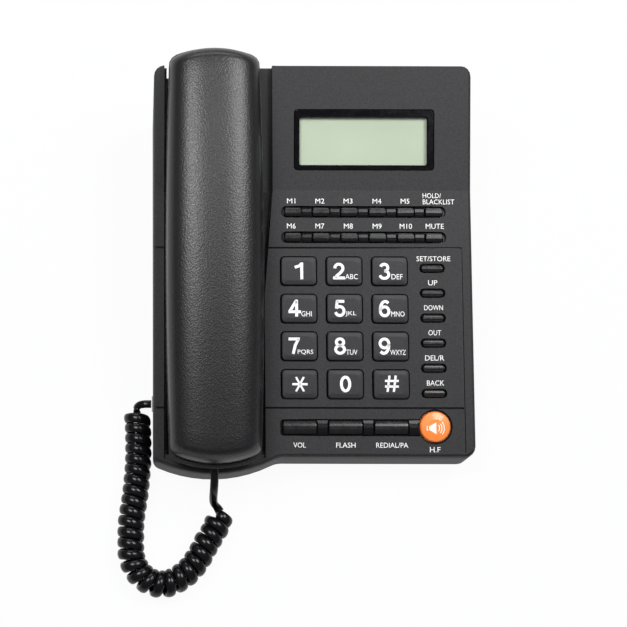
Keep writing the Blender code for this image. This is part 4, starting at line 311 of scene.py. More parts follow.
def noise(tree, size, detail=2.0, stretch=(1, 1, 1)):
    """Add a noise texture in the piece's own metres, with features of the given size."""
    coords = node(tree, "ShaderNodeTexCoord")
    scale = node(tree, "ShaderNodeMapping")
    scale.inputs["Scale"].default_value = stretch
    texture = node(tree, "ShaderNodeTexNoise")
    texture.inputs["Scale"].default_value = 1.0 / size
    texture.inputs["Detail"].default_value = detail
    tree.links.new(coords.outputs["Object"], scale.inputs["Vector"])
    tree.links.new(scale.outputs["Vector"], texture.inputs["Vector"])
    return texture.outputs["Fac"]


def cells(tree, size):
    """Add a cell texture in the piece's own metres, with cells of the given size."""
    coords = node(tree, "ShaderNodeTexCoord")
    texture = node(tree, "ShaderNodeTexVoronoi", feature="SMOOTH_F1")
    texture.inputs["Scale"].default_value = 1.0 / size
    texture.inputs["Smoothness"].default_value = 0.6
    tree.links.new(coords.outputs["Object"], texture.inputs["Vector"])
    return texture.outputs["Distance"]


def spread(tree, value, low, high, start=0.35, end=0.65):
    """Map a texture's middle range onto low to high."""
    mapped = node(tree, "ShaderNodeMapRange")
    mapped.inputs["From Min"].default_value = start
    mapped.inputs["From Max"].default_value = end
    mapped.inputs["To Min"].default_value = low
    mapped.inputs["To Max"].default_value = high
    tree.links.new(value, mapped.inputs["Value"])
    return mapped.outputs["Result"]


def tint(tree, shader, colour, value, low, high):
    """Vary the base colour between two brightnesses by a texture."""
    ramp = node(tree, "ShaderNodeValToRGB")
    ramp.color_ramp.elements[0].position = 0.3
    ramp.color_ramp.elements[1].position = 0.7
    ramp.color_ramp.elements[0].color = (*[part * low for part in colour], 1.0)
    ramp.color_ramp.elements[1].color = (*[min(1.0, part * high) for part in colour], 1.0)
    tree.links.new(value, ramp.inputs["Fac"])
    tree.links.new(ramp.outputs["Color"], shader.inputs["Base Color"])


def emboss(tree, shader, height, strength, depth):
    """Press a texture into the surface."""
    bump = node(tree, "ShaderNodeBump")
    bump.inputs["Strength"].default_value = strength
    bump.inputs["Distance"].default_value = depth
    tree.links.new(height, bump.inputs["Height"])
    tree.links.new(bump.outputs["Normal"], shader.inputs["Normal"])


def moulded(name, colour, roughness, grain, depth, strength=0.5, mottle=0.12, specular=0.5):
    """Plastic from a textured mould: fine grain, uneven sheen and faint mottling."""
    made, tree, shader = start_material(name, colour, roughness)
    shader.inputs["Specular IOR Level"].default_value = specular
    fine = noise(tree, grain, 3.0)
    tint(tree, shader, colour, noise(tree, grain * 2, 4.0), 1 - mottle, 1 + mottle)
    sheen = spread(tree, fine, roughness - 0.06, roughness + 0.06)
    tree.links.new(sheen, shader.inputs["Roughness"])
    emboss(tree, shader, fine, strength, depth)
    return made


def paint_recess_shade(finish, depth):
    """Make a finish dark and glossy where the surface lies deeper than this below the face: the
    glossy black of the trough lands, and painted shade on hole walls, key gaps, grooves and the cradle.

    For keys, which stand proud of the face, the depth is negative.
    """
    tree = finish.node_tree
    shader = tree.nodes["Principled BSDF"]
    coords = node(tree, "ShaderNodeTexCoord")
    rim = Vector((0, FRONT_Y, RIM_HEIGHT))
    turn = FACE.to_3x3()
    inside = None
    for axis, operation, limit, reach in (
        (turn.col[2], "LESS_THAN", -depth, 0.0),
        (turn.col[1], "COMPARE", (RECESS_FRONT + RECESS_REAR) / 2, (RECESS_REAR - RECESS_FRONT) / 2),
        (turn.col[0], "COMPARE", 0.0, RECESS_HALF_WIDTH),
    ):
        along = node(tree, "ShaderNodeVectorMath", operation="DOT_PRODUCT")
        along.inputs[1].default_value = axis
        tree.links.new(coords.outputs["Object"], along.inputs[0])
        test = node(tree, "ShaderNodeMath", operation=operation)
        test.inputs[1].default_value = limit + axis.dot(rim)
        test.inputs[2].default_value = reach
        tree.links.new(along.outputs["Value"], test.inputs[0])
        if inside is None:
            inside = test.outputs["Value"]
        else:
            both = node(tree, "ShaderNodeMath", operation="MULTIPLY")
            tree.links.new(inside, both.inputs[0])
            tree.links.new(test.outputs["Value"], both.inputs[1])
            inside = both.outputs["Value"]
    # Mix the painted shade colour and gloss in where the depth mask is set
    for name, value in (("Base Color", RECESS_SHADE_COLOUR), ("Roughness", RECESS_ROUGHNESS)):
        mix = node(tree, "ShaderNodeMix", data_type="RGBA")
        tree.links.new(inside, mix.inputs["Factor"])
        tree.links.new(shader.inputs[name].links[0].from_socket, mix.inputs[MIX_FIRST])
        mix.inputs[MIX_SECOND].default_value = value
        tree.links.new(mix.outputs[MIX_RESULT], shader.inputs[name])
    return finish


def leather_grain(name, colour, roughness, specular, pebble_size=0.0009, pebble_depth=0.00012):
    """Handset plastic with a pebbled leather grain over fine noise."""
    made, tree, shader = start_material(name, colour, roughness)
    shader.inputs["Specular IOR Level"].default_value = specular
    pebble = cells(tree, pebble_size)
    fine = noise(tree, 0.0004, 3.0)
    both = node(tree, "ShaderNodeMath", operation="MULTIPLY_ADD")
    both.inputs[1].default_value = 0.7
    tree.links.new(fine, both.inputs[0])
    tree.links.new(pebble, both.inputs[2])
    tint(tree, shader, colour, noise(tree, 0.0016, 5.0), 0.7, 1.35)
    tree.links.new(spread(tree, fine, roughness - 0.05, roughness + 0.10), shader.inputs["Roughness"])
    emboss(tree, shader, both.outputs["Value"], 0.55, pebble_depth)
    return made


def polished(name, colour, roughness, coat=0.0, specular=0.5):
    """Smooth glossy plastic with faint waviness and handling haze."""
    made, tree, shader = start_material(name, colour, roughness)
    shader.inputs["Coat Weight"].default_value = coat
    shader.inputs["Coat Roughness"].default_value = 0.05
    shader.inputs["Specular IOR Level"].default_value = specular
    haze = noise(tree, 0.004, 4.0)
    tint(tree, shader, colour, noise(tree, 0.002, 3.0), 0.92, 1.08)
    tree.links.new(spread(tree, haze, roughness, roughness + 0.08), shader.inputs["Roughness"])
    emboss(tree, shader, noise(tree, 0.003, 2.0), 0.12, 0.00005)
    return made


def printed(name, colour):
    """Slightly raised screen-printing ink."""
    made, tree, shader = start_material(name, colour, 0.55)
    tint(tree, shader, colour, noise(tree, 0.0003, 2.0), 0.94, 1.04)
    emboss(tree, shader, noise(tree, 0.0002, 2.0), 0.2, 0.00002)
    return made


def screen_glass(name):
    """Clear window that lets the screen show and keeps a faint reflection."""
    made, tree, shader = start_material(name, (0.85, 0.9, 0.86), 0.04)
    shader.inputs["Alpha"].default_value = 0.06
    shader.inputs["Specular IOR Level"].default_value = 0.4
    smear = noise(tree, 0.012, 3.0)
    tree.links.new(spread(tree, smear, 0.03, 0.09), shader.inputs["Roughness"])
    return made


def screen_face(name, colour):
    """Pale reflective layer behind the liquid crystal, with a faint dot raster."""
    made, tree, shader = start_material(name, colour, 0.6)
    shader.inputs["Specular IOR Level"].default_value = 0.2
    tint(tree, shader, colour, noise(tree, 0.03, 1.0), 0.965, 1.03)
    emboss(tree, shader, noise(tree, 0.0005, 1.0), 0.1, 0.00002)
    return made


def metal(name, colour, roughness):
    """Plated or brushed steel."""
    made, tree, shader = start_material(name, colour, roughness)
    shader.inputs["Metallic"].default_value = 1.0
    brush = noise(tree, 0.0008, 3.0, stretch=(1, 12, 1))
    tree.links.new(spread(tree, brush, roughness - 0.06, roughness + 0.12), shader.inputs["Roughness"])
    emboss(tree, shader, brush, 0.15, 0.00003)
    return made


def clear_plastic(name, colour):
    """Smoky clear plastic of the cord plugs."""
    made, tree, shader = start_material(name, colour, 0.08)
    shader.inputs["Transmission Weight"].default_value = 0.55
    shader.inputs["IOR"].default_value = 1.55
    tree.links.new(spread(tree, noise(tree, 0.002, 2.0), 0.06, 0.16), shader.inputs["Roughness"])
    return made


def dress(node_names, finish):
    """Give carried-over solids a finish."""
    for name in node_names:
        solid = frame["nodes"][name]
        solid.data.materials.clear()
        solid.data.materials.append(finish)


def nodes_in_slot(slot):
    """Names of the solids whose record slot is the given one."""
    return [part["node"] for part in frame["record"]["subparts"] if part["material_slot"] == slot]


# Building pieces

def add_piece(name, mesh, finish, body=None, smooth=False):
    """Put a mesh in the scene as a finished piece that rides on a body."""
    mesh.materials.clear()
    mesh.materials.append(finish)
    for polygon in mesh.polygons:
        polygon.use_smooth = smooth
    made = bpy.data.objects.new(name, mesh)
    bpy.context.scene.collection.objects.link(made)
    if body:
        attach(made, body)
    return made


def close_mesh(bm, name):
    """Return the mesh of what was built, its faces turned outward."""
    bmesh.ops.recalc_face_normals(bm, faces=bm.faces)
    made = bpy.data.meshes.new(name)
    bm.to_mesh(made)
    bm.free()
    return made


def join_rings(bm, rings):
    """Close the sides between each ring of vertices and the next."""
    for low, high in zip(rings, rings[1:]):
        for k in range(len(low)):
            j = (k + 1) % len(low)
            bm.faces.new((low[k], low[j], high[j], high[k]))


def round_spot(radius, angle, height):
    """Point at a radius and an angle round the vertical."""
    return Vector((radius * cos(angle), radius * sin(angle), height))


def text_mesh(text, box, thickness):
    """Return a mesh of a word, stretched to fill a box given in millimetres."""
    left, right, low, high = box
    curve = bpy.data.curves.new("word", "FONT")
    curve.body = text
    curve.resolution_u = 3
    curve.extrude = thickness
    holder = bpy.data.objects.new("word", curve)
    bpy.context.scene.collection.objects.link(holder)
    graph = bpy.context.evaluated_depsgraph_get()
    mesh = bpy.data.meshes.new_from_object(holder.evaluated_get(graph))
    bpy.data.objects.remove(holder)
    bpy.data.curves.remove(curve)
    xs = [vertex.co.x for vertex in mesh.vertices]
    ys = [vertex.co.y for vertex in mesh.vertices]
    wide = (right - left) / 1000 / (max(xs) - min(xs))
    tall = (high - low) / 1000 / (max(ys) - min(ys))
    for vertex in mesh.vertices:
        x = left / 1000 + (vertex.co.x - min(xs)) * wide
        y = low / 1000 + (vertex.co.y - min(ys)) * tall
        vertex.co = (x, y, thickness if vertex.co.z > 0 else 0.0)
    return mesh


def stroke_points(stroke, box, width):
    """Middle line of a figure's stroke in millimetres, inside its box by half the stroke's width."""
    left, right, low, high = box
    if stroke[0] == "line":
        shares = stroke[1:]
    else:
        middle, radii, first, last = stroke[1:]
        steps = max(4, ceil(abs(last - first) / ARC_STEP))
        shares = []
        for i in range(steps + 1):
            angle = radians(first + (last - first) * i / steps)
            shares.append((middle[0] + radii[0] * cos(angle), middle[1] + radii[1] * sin(angle)))
    wide = right - left - width
    tall = high - low - width
    points = []
    for x, y in shares:
        u = left + width / 2 + x * wide
        v = low + width / 2 + y * tall
        points.append((min(max(u, left), right), min(max(v, low), high)))
    return points


def figure_mesh(text, box, thickness):
    """Return a mesh of one figure in even strokes, inside a box given in millimetres."""
    bm = bmesh.new()
    width = STAR_STROKE if text in "*#" else FIGURE_STROKE
    for stroke in FIGURE_STROKES[text]:
        points = stroke_points(stroke, box, width)
        closed = stroke[0] == "arc" and stroke[4] - stroke[3] == 360
        last = len(points) - 1
        sections = []
        for i, (u, v) in enumerate(points):
            before = points[i - 1] if i else points[-2 if closed else 0]
            after = points[i + 1] if i < last else points[1 if closed else last]
            run = (after[0] - before[0], after[1] - before[1])
            length = hypot(*run)
            side = (-run[1] / length * width / 2, run[0] / length * width / 2)
            section = []
            for way, height in ((1, 0), (-1, 0), (-1, thickness), (1, thickness)):
                x = min(max(u + way * side[0], box[0]), box[1])
                y = min(max(v + way * side[1], box[2]), box[3])
                section.append(bm.verts.new((x / 1000, y / 1000, height)))
            sections.append(section)
        join_rings(bm, sections)
        bm.faces.new(sections[0])
        bm.faces.new(sections[-1])
    return close_mesh(bm, "figure")


def lay_on_face(name, meshes, height):
    """Return one mesh of several marks laid on the face at the height that a function gives."""
    bm = bmesh.new()
    for mesh in meshes:
        bm.from_mesh(mesh)
        bpy.data.meshes.remove(mesh)
    bmesh.ops.remove_doubles(bm, verts=bm.verts, dist=WELD)
    for vertex in bm.verts:
        lift = height(vertex.co.x, vertex.co.y)
        vertex.co = FACE @ Vector((vertex.co.x, vertex.co.y, vertex.co.z + lift))
    return close_mesh(bm, name)


def shell_grid(columns, inset):
    """Rows of points over the handset's outer shell, from its front edge to its rear edge."""
    length = SHELL_REAR - SHELL_FRONT
    middle = length / 2
    straight = length - 2 * SHELL_END_ROUND
    near_end = []
    for i in range(SHELL_END_ROWS):
        near_end.append(SHELL_END_ROUND * (1 - cos(pi / 2 * i / SHELL_END_ROWS)))
    rows = near_end + [SHELL_END_ROUND + straight * i / SHELL_ROWS for i in range(SHELL_ROWS + 1)]
    rows += [length - distance for distance in reversed(near_end)]
    grid = []
    for distance in rows:
        near = min(distance, length - distance)
        width = SHELL_END_WIDTH / 2 + SHELL_SWELL / 2 * sin(pi * distance / length) - inset
        if near < SHELL_CORNER:
            width -= SHELL_CORNER * (1 - sqrt(1 - (1 - near / SHELL_CORNER) ** 2))
        closing = max(0.0, 1 - near / SHELL_END_ROUND)
        share = (distance - middle) / middle
        height = (SHELL_HEIGHT - SHELL_FALL * share ** 2 - inset) * sqrt(1 - closing ** 2)
        bulge = max(0.0, 1 - near / SHELL_END_CURVE) * (1 if distance < middle else -1)
        centre_v = SHELL_FRONT + inset + distance * (length - 2 * inset) / length
        row = []
        for i in range(columns + 1):
            angle = pi * i / columns
            across = -abs(cos(angle)) ** (2 / SHELL_POWER) * (1 if cos(angle) > 0 else -1)
            rise = 0.0 if i in (0, columns) else sin(angle) ** (2 / SHELL_POWER)
            x = across * width
            v = centre_v + bulge * x * x / (2 * SHELL_END_CURVE)
            row.append(FACE @ Vector((SHELL_CENTRE_U + x, v, SHELL_SPLIT + height * rise)))
        grid.append(row)
    return grid


def shell_skin(columns):
    """Closed mesh of the handset's outer shell."""
    bm = bmesh.new()
    rims = []
    for inset in (SHELL_STEP, SHELL_STEP + SHELL_WALL):
        verts = [[bm.verts.new(point) for point in row] for row in shell_grid(columns, inset)]
        for row, following in zip(verts, verts[1:]):
            for i in range(columns):
                bm.faces.new((row[i], row[i + 1], following[i + 1], following[i]))
        rim = verts[0] + [row[-1] for row in verts[1:-1]] + verts[-1][::-1]
        rims.append(rim + [row[0] for row in verts[-2:0:-1]])
    join_rings(bm, rims)
    return close_mesh(bm, "shell_skin")


def dial_crown(middle_u, middle_v):
    """Return the height of a dial key's pad over the face, as a function of place."""
    def height(u, v):
        inside = min(PAD_HALF_WIDTH - abs(u - middle_u), PAD_HALF_DEPTH - abs(v - middle_v))
        share = min(1.0, max(0.0, (inside - PAD_EDGE) / PAD_SLOPE))
        return PAD_HEIGHT + PAD_CROWN * share - INK_SINK
    return height


def round_crown(u, v):
    """Height of the hands-free key's dome over the face."""
    reach = hypot(u - ROUND_KEY_U, v - ROUND_KEY_V)
    share = max(0.0, (reach - ROUND_KEY_FLAT) / ROUND_KEY_SLOPE)
    return ROUND_KEY_HEIGHT - ROUND_KEY_FALL * share - INK_SINK


def smooth_route(points, step):
    """Points about a step apart on a smooth curve through the given ones."""
    ends = [2 * points[0] - points[1]] + list(points) + [2 * points[-1] - points[-2]]
    route = [points[0]]
    for before, start, end, after in zip(ends, ends[1:], ends[2:], ends[3:]):
        count = max(1, ceil((end - start).length / step))
        for i in range(1, count + 1):
            t = i / count
            value = 2 * start + (end - before) * t
            value += (2 * before - 5 * start + 4 * end - after) * t ** 2
            value += (3 * start - before - 3 * end + after) * t ** 3
            route.append(value / 2)
    return route


def curl_points(axis, per_curl):
    """Helix round an axis route, swelling from the axis at one end and closing at the other."""
    lengths = [0.0]
    for start, end in zip(axis, axis[1:]):
        lengths.append(lengths[-1] + (end - start).length)
    total = CORD_CURLS * per_curl
    ramp = CORD_RAMP_CURLS / CORD_CURLS
    points = []
    directions = []
    place = 0
    for i in range(total + 1):
        share = i / total
        along = share * lengths[-1]
        while place < len(axis) - 2 and lengths[place + 1] < along:
            place += 1
        part = (along - lengths[place]) / (lengths[place + 1] - lengths[place])
        centre = axis[place].lerp(axis[place + 1], part)
        ahead = axis[min(place + 2, len(axis) - 1)] - axis[max(place - 1, 0)]
        ahead.normalize()
        side = ahead.cross(Vector((0, 0, 1)))
        side.normalize()
        lift = side.cross(ahead)
        radius = CORD_CURL_RADIUS * min(1.0, share / ramp, (1 - share) / ramp)
        angle = 2 * pi * CORD_CURLS * share
        points.append(centre + radius * (cos(angle) * side + sin(angle) * lift))
        directions.append(ahead)
    return points, directions


def sweep_oval(points, wides, widths, thickness, sides):
    """Mesh of an oval tube along points; wides are the directions of its broad side."""
    bm = bmesh.new()
    rings = []
    last = len(points) - 1
    for i, point in enumerate(points):
        run = points[min(i + 1, last)] - points[max(i - 1, 0)]
        run.normalize()
        wide = wides[i] - run * wides[i].dot(run)
        wide.normalize()
        thin = run.cross(wide)
        ring = []
        for k in range(sides):
            angle = 2 * pi * k / sides
            offset = wide * (cos(angle) * widths[i] / 2) + thin * (sin(angle) * thickness / 2)
            ring.append(bm.verts.new(point + offset))
        rings.append(ring)
    join_rings(bm, rings)
    bm.faces.new(rings[0])
    bm.faces.new(rings[-1])
    return close_mesh(bm, "cord_skin")


def cord_widths(before, curls, after, width, per_curl):
    """Widths along a cord: narrower on the leads, and no wider than the way to the next curl.

    before and after are the numbers of points on the leads.
    """
    widths = [width * CORD_LEAD_WIDTH] * before
    for k, point in enumerate(curls):
        room = [width]
        if k >= per_curl:
            room.append((point - curls[k - per_curl]).length)
        if k + per_curl < len(curls):
            room.append((point - curls[k + per_curl]).length)
        widths.append(min(room))
    widths += [width * CORD_LEAD_WIDTH] * after
    for _ in range(CORD_WIDTH_PASSES):
        middle = [(a + b + c) / 3 for a, b, c in zip(widths, widths[1:], widths[2:])]
        widths = [widths[0]] + middle + [widths[-1]]
    return widths


# Settings a user would change

class TELEPHONE_PG_finishes(bpy.types.PropertyGroup):
    """Colours of the telephone's plastics."""
    housing: FloatVectorProperty(
        name="Housing", description="Colour of both housing halves", subtype="COLOR",
        size=3, min=0, max=1, default=(0.024, 0.024, 0.026))
    handset: FloatVectorProperty(
        name="Handset", description="Colour of the handset's shells", subtype="COLOR",
        size=3, min=0, max=1, default=(0.005, 0.005, 0.006))
    dial_keys: FloatVectorProperty(
        name="Dial keys", description="Colour of the twelve dial keys", subtype="COLOR",
        size=3, min=0, max=1, default=(0.023, 0.023, 0.027))
    orange: FloatVectorProperty(
        name="Hands-free key", description="Colour of the round key", subtype="COLOR",
        size=3, min=0, max=1, default=(0.93, 0.235, 0.040))
    screen: FloatVectorProperty(
        name="Screen", description="Colour of the blank screen", subtype="COLOR",
        size=3, min=0, max=1, default=(0.40, 0.47, 0.345))
    ink: FloatVectorProperty(
        name="Ink", description="Colour of the printed marks", subtype="COLOR",
        size=3, min=0, max=1, default=(0.84, 0.84, 0.84))
    grain: FloatProperty(
        name="Housing grain", description="Size of the mould texture's grains",
        subtype="DISTANCE", unit="LENGTH", min=0.0001, max=0.003, default=0.00045)


class TELEPHONE_PG_cord(bpy.types.PropertyGroup):
    """Sizes of the handset cord."""
    width: FloatProperty(
        name="Width", description="Width of the flat cord", subtype="DISTANCE", unit="LENGTH",
        min=0.002, max=0.006, default=0.0051)
    thickness: FloatProperty(
        name="Thickness", description="Thickness of the flat cord", subtype="DISTANCE",
        unit="LENGTH", min=0.001, max=0.004, default=0.0027)
    steps: IntProperty(
        name="Steps per curl", description="Points along the cord in each curl",
        min=12, max=48, default=24)
    sides: IntProperty(
        name="Sides", description="Sides of the cord's section", min=8, max=24, default=12)


class TELEPHONE_PG_studio(bpy.types.PropertyGroup):
    """Lamps, floor and camera."""
    key_power: FloatProperty(
        name="Key lamp", description="Power of the lamp over the right side", unit="POWER",
        min=0, max=100, default=7.5)
    rear_power: FloatProperty(
        name="Rear lamp", description="Power of the lamp behind the display", unit="POWER",
        min=0, max=100, default=4.0)
    fill_power: FloatProperty(
        name="Fill lamp", description="Power of the lamp over the left side", unit="POWER",
        min=0, max=100, default=6.0)
    sky: FloatProperty(
        name="Sky", description="Strength of the light from all round", min=0, max=2, default=0.22)
    tilt: FloatProperty(
        name="Camera elevation", description="Angle of the camera over the desk",
        subtype="ANGLE", unit="ROTATION", min=0, max=radians(90), default=radians(72.7))
    distance: FloatProperty(
        name="Camera distance", description="From the camera to the middle of the face",
        subtype="DISTANCE", unit="LENGTH", min=0.2, max=3, default=0.650)
    aside: FloatProperty(
        name="Camera aside", description="Place of the camera to the right of the face's middle",
        subtype="DISTANCE", unit="LENGTH", min=-1, max=1, default=-0.0874)


class TELEPHONE_OT_dress_housing(bpy.types.Operator):
    """Give the housing, sockets, feet and board their finishes"""
    bl_idname = "telephone.dress_housing"
    bl_label = "Dress housing"

    def execute(self, context):
        look = context.scene.telephone_finishes
        plastic = moulded(
            "housing grain", tuple(look.housing), 0.55, look.grain, 0.00006, 0.55, 0.30, 0.25)
        # The housing's finish gets painted shade in its hollows below the face
        dress(nodes_in_slot("housing_plastic"), paint_recess_shade(plastic, HOUSING_RECESS_DEPTH))
        dress(nodes_in_slot("socket_plastic"), moulded(
            "socket satin", (0.02, 0.02, 0.022), 0.42, 0.0005, 0.00003))
        dress(nodes_in_slot("foot_rubber"), moulded(
            "foot rubber", (0.012, 0.012, 0.012), 0.85, 0.0006, 0.00008, specular=0.2))
        dress(nodes_in_slot("mat_rubber"), moulded(
            "mat rubber", (0.30, 0.30, 0.29), 0.8, 0.0006, 0.00005))
        dress(nodes_in_slot("board_laminate"), polished("board lacquer", (0.02, 0.13, 0.05), 0.35))
        dress(nodes_in_slot("plated_steel"), metal("plated steel", (0.52, 0.52, 0.54), 0.34))
        dress(nodes_in_slot("plug_plastic"), clear_plastic("plug clear", (0.35, 0.36, 0.38)))
        return {"FINISHED"}


class TELEPHONE_OT_dress_keys(bpy.types.Operator):
    """Give all keys their finishes"""
    bl_idname = "telephone.dress_keys"
    bl_label = "Dress keys"

    def execute(self, context):
        look = context.scene.telephone_finishes
        satin = moulded(
            "dial key satin", tuple(look.dial_keys), 0.48, 0.0005, 0.00003, 0.35, 0.20, 0.28)
        # The dial keys' sides below their shoulders get painted shade, for dark outlines round the keys
        dress(nodes_in_slot("dial_key_plastic"), paint_recess_shade(satin, -DIAL_KEY_SHOULDER))
        dress(nodes_in_slot("small_key_plastic"), polished(
            "small key gloss", (0.005, 0.005, 0.006), 0.22))
        dress(nodes_in_slot("orange_key_plastic"), polished(
            "orange key", tuple(look.orange), 0.32, coat=0.3))
        return {"FINISHED"}


class TELEPHONE_OT_dress_display(bpy.types.Operator):
    """Give the bezel, window and screen their finishes"""
    bl_idname = "telephone.dress_display"
    bl_label = "Dress display"

    def execute(self, context):
        look = context.scene.telephone_finishes
        dress(nodes_in_slot("bezel_plastic"), polished(
            "bezel gloss", (0.003, 0.003, 0.004), 0.12, specular=0.12))
        dress(nodes_in_slot("window_plastic"), screen_glass("window clear"))
        dress(nodes_in_slot("lcd_glass"), screen_face("screen", tuple(look.screen)))
        return {"FINISHED"}


class TELEPHONE_OT_dress_handset(bpy.types.Operator):
    """Give the handset its grained finish"""
    bl_idname = "telephone.dress_handset"
    bl_label = "Dress handset"

    def execute(self, context):
        look = context.scene.telephone_finishes
        finish = leather_grain("handset grain", tuple(look.handset), 0.34, 0.5)
        dress(nodes_in_slot("handset_plastic"), finish)
        mesh = shell_skin(SHELL_COLUMNS)
        skin = add_piece("handset_crown", mesh, finish, "handset", smooth=True)
        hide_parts("handset_upper_shell")
        return {"FINISHED"}


class TELEPHONE_OT_letter_keys(bpy.types.Operator):
    """Print the figures and letters on the dial keys"""
    bl_idname = "telephone.letter_keys"
    bl_label = "Letter dial keys"

    def execute(self, context):
        ink = printed("key ink", tuple(context.scene.telephone_finishes.ink))
        for name, (column, row, figure, box, letters, letter_box) in DIAL_MARKS.items():
            meshes = [figure_mesh(figure, box, KEY_INK)]
            if letters:
                meshes.append(text_mesh(letters, letter_box, KEY_INK))
            crown = dial_crown(DIAL_COLUMNS[column], DIAL_ROWS[row])
            mesh = lay_on_face("mark_" + name, meshes, crown)
            add_piece("mark_" + name, mesh, ink, "key_" + name + "_body")
        return {"FINISHED"}


class TELEPHONE_OT_letter_face(bpy.types.Operator):
    """Print the words beside the keys on the housing"""
    bl_idname = "telephone.letter_face"
    bl_label = "Letter face"

    def execute(self, context):
        ink = printed("face ink", tuple(context.scene.telephone_finishes.ink))
        meshes = [text_mesh(word, box, FACE_INK) for word, *box in FACE_WORDS]
        mesh = lay_on_face("face_words", meshes, lambda u, v: -INK_SINK)
        add_piece("face_words", mesh, ink, "base")
        return {"FINISHED"}


class TELEPHONE_OT_draw_icon(bpy.types.Operator):
    """Print the loudspeaker sign on the round key"""
    bl_idname = "telephone.draw_icon"
    bl_label = "Draw hands-free sign"

    def execute(self, context):
        shapes = list(SIGN_BODIES)
        turns = [k / 10 for k in range(-7, 8)]
        for radius in SIGN_WAVES:
            outer = radius + SIGN_WAVE_WIDTH
            wave = [(radius * cos(turn), radius * sin(turn)) for turn in turns]
            wave += [(outer * cos(turn), outer * sin(turn)) for turn in reversed(turns)]
            shapes.append(wave)
        bm = bmesh.new()
        for shape in shapes:
            rings = []
            for thickness in (0.0, KEY_INK):
                ring = []
                for x, y in shape:
                    u = SIGN_MIDDLE[0] + x / 1000
                    v = SIGN_MIDDLE[1] + y / 1000
                    ring.append(bm.verts.new(FACE @ Vector((u, v, round_crown(u, v) + thickness))))
                rings.append(ring)
            join_rings(bm, rings)
            bm.faces.new(rings[0])
            bm.faces.new(rings[1])
        bmesh.ops.triangulate(bm, faces=bm.faces)
        mesh = close_mesh(bm, "hands_free_sign")
        ink = printed("sign ink", (0.95, 0.86, 0.78))
        add_piece("hands_free_sign", mesh, ink, "key_hands_free_body")
        return {"FINISHED"}


class TELEPHONE_OT_wind_cord(bpy.types.Operator):
    """Wind the curly cord from the handset to the housing"""
    bl_idname = "telephone.wind_cord"
    bl_label = "Wind cord"

    def execute(self, context):
        sizes = context.scene.telephone_cord
        handset_end = FACE @ Vector(CORD_HANDSET_END)
        out = FACE.to_3x3() @ Vector((0, -1, 0))
        base_end = place_on_desk(CORD_BASE_END)
        lead = [handset_end, handset_end + out * CORD_STUB]
        lead += [place_on_desk(point) for point in CORD_HANDSET_LEAD]
        tail = [place_on_desk(point) for point in CORD_BASE_LEAD]
        tail += [base_end - Vector((CORD_STUB, 0, 0)), base_end]
        axis = [place_on_desk((x, y, CORD_AXIS_HEIGHT)) for x, y in CORD_AXIS]
        axis = smooth_route(axis, CORD_STEP)
        curls, aheads = curl_points(axis, sizes.steps)
        first = smooth_route(lead + [curls[0]], CORD_STEP)[:-1]
        last = smooth_route([curls[-1]] + tail, CORD_STEP)[1:]
        points = first + curls + last
        wides = [Vector((1, 0, 0))] * len(first) + aheads + [Vector((0, 1, 0))] * len(last)
        widths = cord_widths(len(first), curls, len(last), sizes.width, sizes.steps)
        mesh = sweep_oval(points, wides, widths, sizes.thickness, sizes.sides)
        gloss = polished("cord gloss", (0.003, 0.003, 0.004), 0.18, specular=0.28)
        cord = add_piece("curly_cord", mesh, gloss, smooth=True)
        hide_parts("handset_cord")
        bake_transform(cord)
        return {"FINISHED"}


class TELEPHONE_OT_fit_screws(bpy.types.Operator):
    """Put the four housing screws in their bosses"""
    bl_idname = "telephone.fit_screws"
    bl_label = "Fit screws"

    def execute(self, context):
        bm = bmesh.new()
        for x, y in SCREWS:
            self.add_screw(bm, place_on_desk((x, y, top_height(y) - SCREW_SEAT_DEPTH)))
        mesh = close_mesh(bm, "housing_screws")
        steel = metal("screw steel", (0.30, 0.30, 0.31), 0.35)
        add_piece("housing_screws", mesh, steel, "base")
        return {"FINISHED"}

    def add_screw(self, bm, seat, sides=16):
        """Add a screw that points up from its head's seat, with a cross in the head."""
        rings = []
        for radius, height in SCREW_PROFILE:
            spots = [round_spot(radius, 2 * pi * k / sides, height) for k in range(sides)]
            rings.append([bm.verts.new(seat + spot) for spot in spots])
        join_rings(bm, rings)
        bm.faces.new(rings[-1])
        cross = []
        floor = []
        for k in range(8):
            reach = CROSS_WAIST if k % 2 else CROSS_REACH
            angle = pi / 4 * k
            cross.append(bm.verts.new(seat + round_spot(reach, angle, SCREW_PROFILE[0][1])))
            floor.append(bm.verts.new(seat + round_spot(reach * CROSS_TAPER, angle, CROSS_FLOOR)))
        join_rings(bm, [cross, floor])
        bm.faces.new(floor)
        rim = rings[0]
        for k in range(8):
            beyond = (2 * k + 2) % sides
            bm.faces.new((rim[2 * k], rim[2 * k + 1], cross[k]))
            bm.faces.new((rim[2 * k + 1], rim[beyond], cross[(k + 1) % 8], cross[k]))


